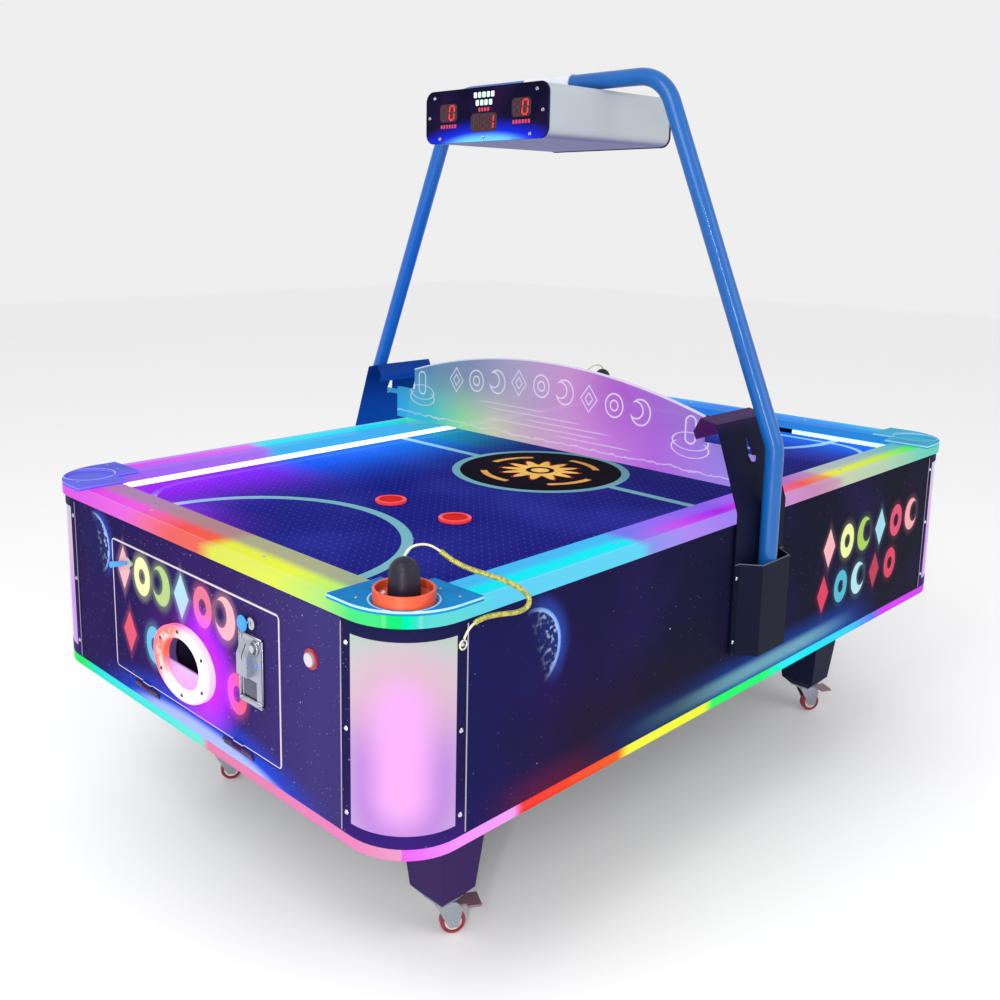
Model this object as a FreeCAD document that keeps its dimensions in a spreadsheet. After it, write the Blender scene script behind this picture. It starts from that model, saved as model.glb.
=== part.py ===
import FreeCAD, Part
import math
import os
import re

import Sketcher

# Air hockey table for two players, with a lit cabinet, a score gantry over the middle and a
# coin door at the -X end.  Millimetres.  Origin on the floor under the middle of the table,
# +X along the length (away from the coin door), +Y across the width, +Z up.
# "near" is the -Y side, "far" the +Y side, "front" the -X end and "back" the +X end.

DIMENSIONS = [
    # cabinet outline, over the faces of the panels
    ("body_length", 2018), ("body_width", 1220), ("corner_radius", 120),
    ("seam_margin", 141), ("panel_thick", 15), ("corner_thick", 12),
    # heights above the floor
    ("strip_bottom", 360), ("panel_bottom", 380), ("panel_top", 751), ("rail_top", 772),
    ("field_top", 737),
    # base board and lower light strip
    ("board_thick", 18), ("strip_thick", 10),
    # milky windows in the rounded corners
    ("window_bottom", 402), ("window_top", 727), ("window_thick", 4), ("window_inset", 1),
    # aluminium strips over the panel seams
    ("trim_width", 3), ("trim_proud", 1.2), ("trim_bottom", 384), ("trim_top", 742),
    # button-head screws
    ("screw_margin", 130), ("screw_high", 709), ("screw_mid", 564), ("screw_low", 418),
    ("screw_radius", 4.5), ("screw_head", 2.2), ("rail_screw_x", 440), ("rail_screw_y", 200),
    ("rail_screw_inset", 40),
    # playing field between the rails
    ("field_length", 1818), ("field_width", 1034), ("field_thick", 12), ("field_lap", 6),
    # air box and blower under the field
    ("plenum_length", 1600), ("plenum_width", 900), ("plenum_bottom", 660),
    ("plenum_wall", 12), ("duct_radius", 60), ("blower_x", 300), ("blower_radius", 150),
    ("blower_bottom", 460), ("blower_top", 560), ("blower_wall", 3), ("motor_radius", 60),
    ("impeller_radius", 120), ("impeller_bottom", 472), ("impeller_top", 545),
    ("shaft_radius", 6), ("running_gap", 0.06), ("blade_count", 16),
    # rails: timber core, translucent cover, light bar
    ("rail_overhang", 5), ("cover_thick", 4), ("core_outer_gap", 16), ("cover_edge", 3),
    ("light_bar_bottom", 739), ("light_bar_top", 750), ("light_bar_proud", 4),
    ("goal_width", 380), ("goal_height", 14), ("chute_depth", 65), ("chute_bottom", 620),
    ("chute_wall", 5), ("chute_hole", 110),
    # corner trays that hold the mallets
    ("tray_thick", 8), ("tray_floor", 3), ("tray_arm", 172), ("tray_width", 110),
    ("recess_inset", 70), ("recess_radius", 53), ("tray_notch", 7), ("tray_notch_inset", 107),
    # legs and casters
    ("leg_x", 704), ("leg_y", 390), ("leg_top_side", 141), ("leg_low_side", 89),
    ("leg_foot_side", 54), ("leg_low", 100), ("leg_foot", 80),
    ("caster_plate_side", 52), ("caster_plate_thick", 4), ("kingpin_radius", 5),
    ("caster_cap_radius", 22), ("caster_cap_thick", 4.7), ("rest_gap", 0.3),
    ("caster_trail", 20), ("caster_angle", -30), ("wheel_radius", 25), ("wheel_width", 22),
    ("axle_radius", 4), ("fork_inside", 26), ("fork_sheet", 2.5), ("fork_top", 71),
    ("pedal_pivot_x", 30), ("pedal_pivot_z", 57), ("pedal_pin_radius", 2.5),
    ("pedal_sheet", 3), ("pedal_reach", 74), ("pedal_pad_width", 40), ("pedal_width", 24.8),
    # score gantry
    ("post_y", 636.5), ("post_foot", 478), ("kink_height", 900), ("gantry_height", 1669),
    ("gantry_corner_y", 320), ("tube_radius", 19), ("tube_wall", 2), ("kink_bend", 70),
    ("gantry_bend", 95),
    # side brackets and post pockets
    ("bracket_half", 95.5), ("bracket_sheet", 2.5), ("bracket_face", 617.5),
    ("bracket_foot", 465), ("hood_outer_y", 557), ("hood_outer_z", 949), ("hood_inner_y", 517),
    ("hood_inner_z", 958), ("lip_y", 501), ("lip_z", 928), ("lip_end_y", 508),
    ("lip_end_z", 911), ("pocket_top", 664), ("pocket_half", 84), ("pocket_front_half", 54),
    ("pocket_front", 658.5), ("pocket_flange", 96), ("collar_height", 646),
    # clear divider across the middle
    ("divider_thick", 8), ("divider_bottom", 800), ("divider_peak", 1014),
    ("divider_half", 540), ("divider_arc", 1593), ("notch_y", 467), ("notch_z", 885),
    ("divider_tab_low", 864), ("divider_tab_high", 876), ("divider_tab_end", 592),
    # score box
    ("score_half_length", 224), ("score_half_width", 187.5), ("score_bottom", 1532),
    ("score_top", 1647), ("score_corner", 22), ("score_plate", 5), ("score_wall", 2.5),
    ("saddle_half", 55), ("saddle_half_width", 70), ("saddle_sheet", 3),
    # coin door
    ("door_half", 301), ("door_bottom", 416), ("door_top", 701), ("door_corner", 12),
    ("door_gap", 1.5), ("hinge_y", 168), ("hinge_width", 95), ("hinge_pin_out", 3.6),
    ("hinge_pin_z", 411), ("hinge_barrel", 3.2), ("hinge_pin_radius", 1.5),
    ("lock_left_y", 219), ("lock_right_y", -225), ("lock_z", 666), ("lock_radius", 8.5),
    ("lock_cap_radius", 11), ("lock_proud", 7), ("tongue_length", 42), ("tongue_width", 12),
    # puck return ring on the door
    ("ring_y", 12), ("ring_z", 515), ("ring_outer_y", 105), ("ring_outer_z", 75),
    ("ring_inner_y", 65), ("ring_inner_z", 51), ("ring_proud", 12), ("lip_guard_top", 505), ("return_depth", 75),
    ("return_floor", 455), ("return_top", 580), ("return_wall", 3),
    # coin acceptor
    ("coin_y", -215), ("coin_width", 70), ("coin_bottom", 511), ("coin_top", 642),
    ("coin_plate_thick", 4), ("coin_rim", 10), ("coin_housing_proud", 16), ("coin_button_radius", 7),
    ("coin_button_y", -231), ("coin_button_z", 622), ("coin_button_travel", 5),
    ("coin_flap_width", 38), ("coin_flap_top", 556), ("coin_flap_height", 34),
    # start button
    ("start_y", -392), ("start_z", 653), ("start_radius", 13.1), ("bezel_radius", 18),
    ("start_proud", 9),
    # pucks and mallets
    ("puck_radius", 35), ("puck_thick", 7), ("air_gap", 0.5),
    ("puck_a_x", -479), ("puck_a_y", 21), ("puck_b_x", -473), ("puck_b_y", -177),
    ("mallet_radius", 50.5), ("mallet_rim_top", 800), ("mallet_wall", 5),
    ("mallet_floor", 7), ("handle_radius", 27), ("handle_shoulder", 823), ("handle_top", 848),
    # tether from a mallet to its corner screw
    ("wire_radius", 2), ("sleeve_radius", 4.5), ("eye_wire", 1.5),
]

# Centre line of the near tether, from the top of the handle, over the rail and back to the
# eye on the corner screw.  Runs are joined by tangent arcs.
TETHER_ROUTE = [
    (-939, -540, 849.3), (-933, -540, 858.5), (-917, -543, 864), (-896, -549, 861.5),
    (-879, -557, 849), (-862, -570, 831), (-840, -586, 817), (-816, -601, 806.5),
    (-792, -616, 795), (-770, -630, 781), (-757, -640, 765), (-763, -642, 750),
    (-781, -638, 745), (-803, -633, 747), (-826, -629, 749.5), (-848, -626, 750),
    (-866, -622, 745), (-877, -617, 732), (-879, -613, 719),
]
SLEEVE_FIRST = 4
SLEEVE_LAST = 16
ARC_SHARE = 0.45

DOCUMENT = FreeCAD.newDocument("air_hockey_table")
SHEET = DOCUMENT.addObject("Spreadsheet::Sheet", "dims")
VALUES = {}
NODES = []
WORD = re.compile(r"[a-z]+(?:_[a-z]+)+")


# ---------------------------------------------------------------- sheet and expressions

def fill_sheet():
    """One row per driving dimension: its name, and its value under an alias."""
    for row, (name, value) in enumerate(DIMENSIONS, start=1):
        SHEET.set(f"A{row}", name)
        SHEET.set(f"B{row}", str(value))
        SHEET.setAlias(f"B{row}", name)
        VALUES[name] = float(value)
    DOCUMENT.recompute()


def linked(text):
    """The expression with every dimension's name pointing at the sheet."""
    return WORD.sub(lambda found: "dims." + found.group(0), str(text))


def amount(text):
    """The value of a sum of dimensions, read through the sheet."""
    return float(SHEET.evalExpression(linked(text)))


def bind(item, prop, text):
    item.setExpression(prop, linked(text))


def new(kind, name):
    return DOCUMENT.addObject(kind, name)


def place(item, x="0", y="0", z="0", turn=None):
    if turn is not None:
        item.Placement = FreeCAD.Placement(FreeCAD.Vector(), turn)
    for axis, text in zip("xyz", (x, y, z)):
        if str(text) != "0":
            bind(item, f"Placement.Base.{axis}", text)
    return item


def node(item, label):
    """Name a finished sub-part: its label is the name of its file."""
    item.Label = label
    NODES.append(item)
    return item


# ---------------------------------------------------------------- solids

ALONG = {
    "z": FreeCAD.Rotation(),
    "x": FreeCAD.Rotation(FreeCAD.Vector(0, 1, 0), 90),
    "-x": FreeCAD.Rotation(FreeCAD.Vector(0, 1, 0), -90),
    "y": FreeCAD.Rotation(FreeCAD.Vector(1, 0, 0), -90),
    "-y": FreeCAD.Rotation(FreeCAD.Vector(1, 0, 0), 90),
}


def box(name, x, y, z):
    """A block between two expressions along each axis."""
    block = new("Part::Box", name)
    for prop, axis, (low, high) in (("Length", "x", x), ("Width", "y", y), ("Height", "z", z)):
        bind(block, prop, f"({high}) - ({low})")
        bind(block, f"Placement.Base.{axis}", low)
    return block


def span(half):
    """Both sides of the middle."""
    return (f"-({half})", half)


def rod(name, radius, length, at=("0", "0", "0"), along="z"):
    """A cylinder that starts at a point and runs along an axis."""
    bar = new("Part::Cylinder", name)
    bind(bar, "Radius", radius)
    bind(bar, "Height", length)
    return place(bar, *at, turn=ALONG[along])


def cone(name, low, high, length, at=("0", "0", "0"), along="z"):
    taper = new("Part::Cone", name)
    bind(taper, "Radius1", low)
    bind(taper, "Radius2", high)
    bind(taper, "Height", length)
    return place(taper, *at, turn=ALONG[along])


def frustum(name, low_side, high_side, low_z, high_z):
    """A square pyramid's slice, standing on its low side about the Z axis."""
    wedge = new("Part::Wedge", name)
    for end, side in (("", low_side), ("2", high_side)):
        for axis in "XZ":
            bind(wedge, f"{axis}{end}min", f"-({side}) / 2")
            bind(wedge, f"{axis}{end}max", f"({side}) / 2")
    bind(wedge, "Ymin", "0")
    bind(wedge, "Ymax", f"({high_z}) - ({low_z})")
    return place(wedge, z=low_z, turn=FreeCAD.Rotation(FreeCAD.Vector(1, 0, 0), 90))


def cut(name, base, *tools):
    shape = new("Part::Cut", name)
    shape.Base = base
    shape.Tool = tools[0] if len(tools) == 1 else fuse(name + "_tools", *tools)
    return shape


def fuse(name, *solids):
    shape = new("Part::MultiFuse", name)
    shape.Shapes = list(solids)
    return shape


def common(name, base, tool):
    shape = new("Part::Common", name)
    shape.Base = base
    shape.Tool = tool
    return shape


def group(name, *solids):
    """Separate solids kept in one sub-part."""
    shape = new("Part::Compound", name)
    shape.Links = list(solids)
    return shape


def mirrored(name, source, across):
    """A copy on the other side of the plane through the origin, square to an axis."""
    copy = new("Part::Mirroring", name)
    copy.Source = source
    copy.Base = FreeCAD.Vector()
    copy.Normal = {"x": FreeCAD.Vector(1, 0, 0), "y": FreeCAD.Vector(0, 1, 0)}[across]
    return copy


def pair(name, source, across):
    return group(name, source, mirrored(name + "_other", source, across))


def four(name, source):
    """The source in one corner, and its mirror images in the other three."""
    return pair(name, pair(name + "_end", source, "y"), "x")


def sketched(name, plane, points):
    """A body with a closed outline of straight lines, each point bound to the sheet."""
    body = new("PartDesign::Body", name)
    sketch = body.newObject("Sketcher::SketchObject", name + "_outline")
    origin = [item for item in body.Origin.OriginFeatures if item.Role == plane][0]
    sketch.AttachmentSupport = [(origin, "")]
    sketch.MapMode = "FlatFace"
    places = [(amount(across), amount(up)) for across, up in points]
    for i, start in enumerate(places):
        end = places[(i + 1) % len(places)]
        sketch.addGeometry(Part.LineSegment(FreeCAD.Vector(*start, 0), FreeCAD.Vector(*end, 0)))
    for i in range(len(places)):
        follower = (i + 1) % len(places)
        sketch.addConstraint(Sketcher.Constraint("Coincident", i, 2, follower, 1))
    for i, (texts, values) in enumerate(zip(points, places)):
        for kind, text, value in zip(("DistanceX", "DistanceY"), texts, values):
            index = sketch.addConstraint(Sketcher.Constraint(kind, -1, 1, i, 1, value))
            sketch.setExpression(f"Constraints[{index}]", linked(text))
    return body, sketch


def prism(name, plane, points, start, depth):
    """An outline given depth. XY rises along +Z, YZ runs along +X, XZ runs along -Y."""
    body, sketch = sketched(name, plane, points)
    pad = body.newObject("PartDesign::Pad", name + "_pad")
    pad.Profile = sketch
    bind(pad, "Length", depth)
    axis = {"XY_Plane": "z", "YZ_Plane": "x", "XZ_Plane": "y"}[plane]
    if str(start) != "0":
        bind(body, f"Placement.Base.{axis}", start)
    return body


def spun(name, points, at=("0", "0", "0"), along="z"):
    """A profile of radius and height, turned once about its own axis."""
    body, sketch = sketched(name, "XZ_Plane", points)
    turned = body.newObject("PartDesign::Revolution", name + "_turned")
    turned.Profile = sketch
    turned.ReferenceAxis = (sketch, ["V_Axis"])
    turned.Angle = 360
    return place(body, *at, turn=ALONG[along])


def rounded(name, plane, across, up, start, depth, radius, edge=None):
    """A block with rounded corners, and a small radius round its far face if edge is given."""
    (low, high), (bottom, top) = across, up
    corners = [(low, bottom), (high, bottom), (high, top), (low, top)]
    body = prism(name, plane, corners, start, depth)
    DOCUMENT.recompute()
    pad = body.Tip
    fillet = body.newObject("PartDesign::Fillet", name + "_corners")
    fillet.Base = (pad, edges_between(pad.Shape, plane))
    bind(fillet, "Radius", radius)
    if edge is not None:
        DOCUMENT.recompute()
        soft = body.newObject("PartDesign::Fillet", name + "_edge")
        soft.Base = (fillet, far_edges(fillet.Shape, plane))
        bind(soft, "Radius", edge)
    return body


def edges_between(shape, plane):
    """The names of the edges that run along the block's depth."""
    depth = {"XY_Plane": 2, "YZ_Plane": 0, "XZ_Plane": 1}[plane]
    names = []
    for number, side in enumerate(shape.Edges, start=1):
        ends = [vertex.Point for vertex in side.Vertexes]
        if len(ends) == 2 and abs(ends[0][depth] - ends[1][depth]) > 1e-6:
            names.append(f"Edge{number}")
    return names


def far_edges(shape, plane):
    """The names of the edges round the block's far face."""
    depth = {"XY_Plane": 2, "YZ_Plane": 0, "XZ_Plane": 1}[plane]
    far = max(vertex.Point[depth] for vertex in shape.Vertexes)
    names = []
    for number, side in enumerate(shape.Edges, start=1):
        if all(abs(vertex.Point[depth] - far) < 1e-6 for vertex in side.Vertexes):
            names.append(f"Edge{number}")
    return names


def outline(name, inset, low, high, edge=None):
    """The rounded outline of the table, drawn in by an inset, between two heights."""
    half_length = f"body_length / 2 - ({inset})"
    half_width = f"body_width / 2 - ({inset})"
    return rounded(
        name, "XY_Plane", span(half_length), span(half_width), low, f"({high}) - ({low})",
        f"corner_radius - ({inset})", edge,
    )


def shaped(name, solid):
    """A feature whose shape is made here, from sizes read out of the sheet."""
    item = new("Part::Feature", name)
    item.Shape = solid
    return item


def oval(name, half_y, half_z, at_y, at_z, start, depth):
    """An elliptical plate across X."""
    centre = FreeCAD.Vector(amount(start), amount(at_y), amount(at_z))
    across = centre + FreeCAD.Vector(0, amount(half_y), 0)
    up = centre + FreeCAD.Vector(0, 0, amount(half_z))
    face = Part.Face(Part.Wire(Part.Ellipse(across, up, centre).toShape()))
    return shaped(name, face.extrude(FreeCAD.Vector(amount(depth), 0, 0)))


def bent_sheet(name, path, sheet, half_width):
    """A strip of sheet metal bent along a path of (y, z) points, centred across X."""
    points = [FreeCAD.Vector(0, amount(y), amount(z)) for y, z in path]
    runs = [(b - a).normalize() for a, b in zip(points, points[1:])]
    sides = [FreeCAD.Vector(0, -run.z, run.y) for run in runs]
    inner = []
    for i, point in enumerate(points):
        before, after = sides[max(i - 1, 0)], sides[min(i, len(sides) - 1)]
        middle = (before + after).normalize()
        inner.append(point + middle * (amount(sheet) / middle.dot(before)))
    ring = points + inner[::-1]
    face = Part.Face(Part.makePolygon(ring + ring[:1]))
    face.translate(FreeCAD.Vector(-amount(half_width), 0, 0))
    return shaped(name, face.extrude(FreeCAD.Vector(2 * amount(half_width), 0, 0)))


def bent_path(points, radii):
    """Straight runs joined by tangent arcs of the given radii at the inner points."""
    edges, last = [], points[0]
    for before, corner, after, radius in zip(points, points[1:], points[2:], radii):
        to_before = (before - corner).normalize()
        to_after = (after - corner).normalize()
        half = to_before.getAngle(to_after) / 2
        reach = radius / math.tan(half)
        bisector = (to_before + to_after).normalize()
        enter, leave = corner + to_before * reach, corner + to_after * reach
        top = corner + bisector * (radius / math.sin(half) - radius)
        edges.append(Part.LineSegment(last, enter).toShape())
        edges.append(Part.Arc(enter, top, leave).toShape())
        last = leave
    edges.append(Part.LineSegment(last, points[-1]).toShape())
    return Part.Wire(edges)


def piped(path, radius):
    """A round bar along a path."""
    start = path.Edges[0]
    middle, way = start.valueAt(start.FirstParameter), start.tangentAt(start.FirstParameter)
    ring = Part.Wire(Part.Circle(middle, way, radius).toShape())
    pipe = Part.BRepOffsetAPI.MakePipeShell(path)
    pipe.add(ring)
    pipe.setTransitionMode(0)
    pipe.build()
    pipe.makeSolid()
    return pipe.shape()


# ---------------------------------------------------------------- cabinet

HALF_LENGTH = "body_length / 2"
HALF_WIDTH = "body_width / 2"
STRAIGHT_X = "body_length / 2 - seam_margin"
STRAIGHT_Y = "body_width / 2 - seam_margin"
FRONT_FACE = "-body_length / 2"
NEAR_FACE = "-body_width / 2"


def base_board():
    board = outline("board", "strip_thick", "panel_bottom - board_thick", "panel_bottom")
    node(board, "base_board")


def lower_light_strip():
    outer = outline("strip_outer", "0", "strip_bottom", "panel_bottom")
    inner = outline("strip_inner", "strip_thick", "strip_bottom", "panel_bottom")
    node(cut("strip", outer, inner), "lower_light_strip")


def end_panels():
    front = box(
        "front_board", (FRONT_FACE, FRONT_FACE + " + panel_thick"), span(STRAIGHT_Y),
        ("panel_bottom", "panel_top"),
    )
    opening = rounded(
        "door_opening", "YZ_Plane", span("door_half + door_gap"),
        ("door_bottom - door_gap", "door_top + door_gap"), FRONT_FACE + " - 1",
        "panel_thick + 2", "door_corner",
    )
    button_hole = rod(
        "start_hole", "start_radius + 1", "panel_thick + 2",
        (FRONT_FACE + " - 1", "start_y", "start_z"), "x",
    )
    node(cut("front_panel", front, opening, button_hole), "end_panel_front")

    back = box(
        "back_board", (HALF_LENGTH + " - panel_thick", HALF_LENGTH), span(STRAIGHT_Y),
        ("panel_bottom", "panel_top"),
    )
    node(back, "end_panel_back")


def side_panels():
    near = box(
        "near_board", span(STRAIGHT_X), (NEAR_FACE, NEAR_FACE + " + panel_thick"),
        ("panel_bottom", "panel_top"),
    )
    node(pair("side_boards", near, "y"), "side_panels")


def corner_pieces(name, outer_inset, thick, margin, low, high):
    """The four rounded corners of a ring that follows the table's outline."""
    outer = outline(name + "_outer", outer_inset, low, high)
    inner = outline(name + "_inner", f"{outer_inset} + {thick}", low, high)
    whole = ("-body_length", "body_length")
    along = box(name + "_along", span(f"body_length / 2 - {margin}"), whole, (low, high))
    across = box(name + "_across", whole, span(f"body_width / 2 - {margin}"), (low, high))
    return cut(name, outer, inner, along, across)


def corner_panels():
    frames = corner_pieces(
        "corner_frames", "0", "corner_thick", "seam_margin", "panel_bottom", "panel_top"
    )
    gap = box(
        "window_gap", (FRONT_FACE + " - 1", FRONT_FACE + " + corner_radius"),
        (NEAR_FACE + " - 1", NEAR_FACE + " + corner_radius"), ("window_bottom", "window_top"),
    )
    node(cut("corner_shells", frames, four("window_gaps", gap)), "corner_panels")
    panes = corner_pieces(
        "corner_panes", "window_inset", "window_thick", "corner_radius", "window_bottom",
        "window_top",
    )
    node(panes, "corner_windows")


def corner_trims():
    heights = ("trim_bottom", "trim_top")
    on_side = box(
        "side_trim", (f"{FRONT_FACE} + seam_margin - trim_width / 2",
                      f"{FRONT_FACE} + seam_margin + trim_width / 2"),
        (NEAR_FACE + " - trim_proud", NEAR_FACE), heights,
    )
    on_end = box(
        "end_trim", (FRONT_FACE + " - trim_proud", FRONT_FACE),
        (f"{NEAR_FACE} + seam_margin - trim_width / 2",
         f"{NEAR_FACE} + seam_margin + trim_width / 2"), heights,
    )
    node(four("trims", group("corner_trim_pair", on_side, on_end)), "corner_trims")


def panel_screws():
    heads = []
    for name in ("screw_high", "screw_mid", "screw_low"):
        heads.append(cone(
            name + "_end", "screw_radius", "screw_radius / 2", "screw_head",
            (FRONT_FACE, NEAR_FACE + " + screw_margin", name), "-x",
        ))
        heads.append(cone(
            name + "_side", "screw_radius", "screw_radius / 2", "screw_head",
            (FRONT_FACE + " + screw_margin", NEAR_FACE, name), "-y",
        ))
    heads.append(cone(
        "rail_screw_end", "screw_radius", "screw_radius / 2", "screw_head / 2",
        (FRONT_FACE + " + rail_screw_inset", "rail_screw_y", "rail_top"),
    ))
    heads.append(cone(
        "rail_screw_side", "screw_radius", "screw_radius / 2", "screw_head / 2",
        ("rail_screw_x", NEAR_FACE + " + rail_screw_inset", "rail_top"),
    ))
    for level in ("bracket_foot + 30", "pocket_top - 30"):
        heads.append(cone(
            "flange_screw_" + level.split("_")[0], "screw_radius", "screw_radius / 2",
            "screw_head", ("pocket_flange - 6", "-bracket_face - bracket_sheet", level), "-y",
        ))
    node(group("screws", four("screw_heads", group("corner_screws", *heads)), *eyes()),
         "panel_screws")


def eyes():
    """The ring under the top corner screw that each tether ends in."""
    rings = []
    for side, sign in (("near", 1), ("far", -1)):
        eye = new("Part::Torus", f"eye_{side}")
        bind(eye, "Radius1", "screw_radius + 2.5")
        bind(eye, "Radius2", "eye_wire")
        rings.append(place(
            eye, f"{sign} * (-body_length / 2 + screw_margin)",
            f"{sign} * (-body_width / 2 - eye_wire)", "screw_high", turn=ALONG["y"]))
    return rings


# ---------------------------------------------------------------- field, air and rails

def playfield():
    board = box(
        "field_board", span("field_length / 2 + field_lap"), span("field_width / 2 + field_lap"),
        ("field_top - field_thick", "field_top"),
    )
    node(board, "playfield")


def air_plenum():
    top = "field_top - field_thick"
    outer = box(
        "plenum_outer", span("plenum_length / 2"), span("plenum_width / 2"),
        ("plenum_bottom", top),
    )
    inner = box(
        "plenum_inner", span("plenum_length / 2 - plenum_wall"),
        span("plenum_width / 2 - plenum_wall"), ("plenum_bottom + plenum_wall", top),
    )
    duct = rod(
        "plenum_duct", "duct_radius", "plenum_wall", ("blower_x", "0", "plenum_bottom"))
    node(cut("plenum", outer, inner, duct), "air_plenum")


def blower():
    at = ("blower_x", "0")
    depth = "blower_top - blower_bottom"
    drum = rod("drum", "blower_radius", depth, (*at, "blower_bottom"))
    neck = rod(
        "neck", "duct_radius + blower_wall", "plenum_bottom - blower_top",
        (*at, "blower_top"))
    room = rod(
        "drum_room", "blower_radius - blower_wall", f"{depth} - 2 * blower_wall",
        (*at, "blower_bottom + blower_wall"))
    throat = rod(
        "throat", "duct_radius", "plenum_bottom - blower_top + blower_wall",
        (*at, "blower_top - blower_wall"))
    eye = rod("drum_eye", "motor_radius / 2", "blower_wall", (*at, "blower_bottom"))
    inlets = [
        rod(f"inlet_{side}", "motor_radius / 3", "blower_wall",
            (f"blower_x + {x} * (blower_radius + motor_radius) / 2",
             f"{y} * (blower_radius + motor_radius) / 2", "blower_bottom"))
        for side, x, y in (("a", 1, 0), ("b", 0, 1), ("c", -1, 0), ("d", 0, -1))
    ]
    casing = cut("casing", fuse("drum_and_neck", drum, neck), room, throat, eye, *inlets)
    motor = cut(
        "motor",
        rod("motor_can", "motor_radius", "blower_bottom - panel_bottom",
            (*at, "panel_bottom")),
        rod("motor_bore", "shaft_radius + running_gap", "blower_bottom - panel_bottom - 20",
            (*at, "panel_bottom + 20")),
    )
    node(group("blower_set", casing, motor), "blower_housing")

    height = "impeller_top - impeller_bottom"
    disc = rod("impeller_disc", "impeller_radius", "4", ("0", "0", "0"))
    hub = rod("impeller_hub", "2 * shaft_radius", f"{height} - 10")
    shaft = rod(
        "impeller_shaft", "shaft_radius", "impeller_bottom - panel_bottom - 40",
        ("0", "0", "-(impeller_bottom - panel_bottom - 40)"))
    blades = []
    for i in range(round(amount("blade_count"))):
        turn = 360 * i / amount("blade_count")
        blade = box(
            f"blade_{i}", ("impeller_radius * 0.7", "impeller_radius - 1"), ("-1.5", "1.5"),
            ("2", height))
        blade.Placement.Rotation = FreeCAD.Rotation(FreeCAD.Vector(0, 0, 1), turn)
        bind(blade, "Placement.Base.x", f"impeller_radius * 0.7 * {math.cos(math.radians(turn))}")
        bind(blade, "Placement.Base.y", f"impeller_radius * 0.7 * {math.sin(math.radians(turn))}")
        blades.append(blade)
    wheel = fuse("impeller_wheel", disc, hub, shaft, *blades)
    node(place(wheel, *at, "impeller_bottom"), "blower_impeller")


RAIL_IN_X = "field_length / 2"
RAIL_IN_Y = "field_width / 2"
CORE_IN_X = "field_length / 2 + cover_thick"
CORE_IN_Y = "field_width / 2 + cover_thick"


def rail_cores():
    heights = ("field_top", "rail_top - cover_thick")
    sides = box(
        "core_side", span(HALF_LENGTH), (CORE_IN_Y, f"{HALF_WIDTH} - core_outer_gap"), heights)
    ends = box("core_end", (CORE_IN_X, f"{HALF_LENGTH} - core_outer_gap"), span(CORE_IN_Y),
               heights)
    slot = box(
        "goal_slot", ("field_length / 2", HALF_LENGTH), span("goal_width / 2"),
        ("field_top", "field_top + goal_height"))
    lengths = fuse(
        "core_lengths", pair("core_sides", sides, "y"),
        pair("core_ends", cut("core_end_slotted", ends, slot), "x"))
    limit = outline("core_limit", "core_outer_gap", *heights)
    node(common("cores", lengths, limit), "rail_cores")


def rail_covers():
    under = "rail_top - cover_thick"
    whole = outline("cover_block", "-rail_overhang", "panel_top", "rail_top", "cover_edge")
    hole = box("cover_hole", span(RAIL_IN_X), span(RAIL_IN_Y), ("panel_top - 1", "rail_top + 1"))
    room = cut(
        "cover_room", outline("room_block", "cover_thick - rail_overhang", "panel_top", under),
        box("room_core", span(CORE_IN_X), span(CORE_IN_Y), ("panel_top - 1", under)))
    shell = cut("cover_shell", whole, hole, room)
    reach, depth = 60, 220
    corner = {
        (x, y, r): (f"{x} * (body_length / 2 - {r})", f"{y} * (body_width / 2 - {r})")
        for x in (-1, 1) for y in (-1, 1) for r in (-reach, depth)
    }
    zones = {
        "front": [corner[-1, -1, -reach], corner[-1, -1, depth], corner[-1, 1, depth],
                  corner[-1, 1, -reach]],
        "back": [corner[1, -1, -reach], corner[1, 1, -reach], corner[1, 1, depth],
                 corner[1, -1, depth]],
        "near": [corner[-1, -1, -reach], corner[1, -1, -reach], corner[1, -1, depth],
                 corner[-1, -1, depth]],
        "far": [corner[-1, 1, -reach], corner[-1, 1, depth], corner[1, 1, depth],
                corner[1, 1, -reach]],
    }
    covers = {}
    for side, points in zones.items():
        zone = prism(f"zone_{side}", "XY_Plane", points, "panel_top - 1",
                     "rail_top - panel_top + 2")
        covers[side] = common(f"cover_{side}", shell, zone)
    node(group("end_covers", covers["front"], covers["back"]), "rail_covers_end")
    node(group("side_covers", covers["near"], covers["far"]), "rail_covers_side")


def inner_light_bars():
    heights = ("light_bar_bottom", "light_bar_top")
    near = box(
        "bar_side", span("field_length / 2 - 2"),
        (f"-({CORE_IN_Y})", f"-({RAIL_IN_Y} - light_bar_proud)"), heights)
    end = box(
        "bar_end", (f"-({CORE_IN_X})", f"-({RAIL_IN_X} - light_bar_proud)"),
        ("goal_width / 2 + 4", f"{RAIL_IN_Y} - light_bar_proud - 2"), heights)
    node(
        group("light_bars", pair("side_bars", near, "y"), four("end_bars", end)),
        "inner_light_bars")


def goal_chutes():
    top = "field_top - 2"
    inner_x = "field_length / 2 + field_lap + 1"
    outer = box(
        "chute_outer", (f"-({inner_x} + chute_depth)", f"-({inner_x})"),
        span("goal_width / 2 + chute_wall"), ("chute_bottom", top))
    room = box(
        "chute_room", (f"-({inner_x} + chute_depth - chute_wall)", f"-({inner_x} + chute_wall)"),
        span("goal_width / 2"), ("chute_bottom + chute_wall", top))
    drop = box(
        "chute_drop", (f"-({inner_x} + chute_depth - chute_wall)", f"-({inner_x} + chute_wall)"),
        span("chute_hole / 2"), ("chute_bottom", top))
    node(pair("chutes", cut("chute", outer, room, drop), "x"), "goal_chutes")


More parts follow.
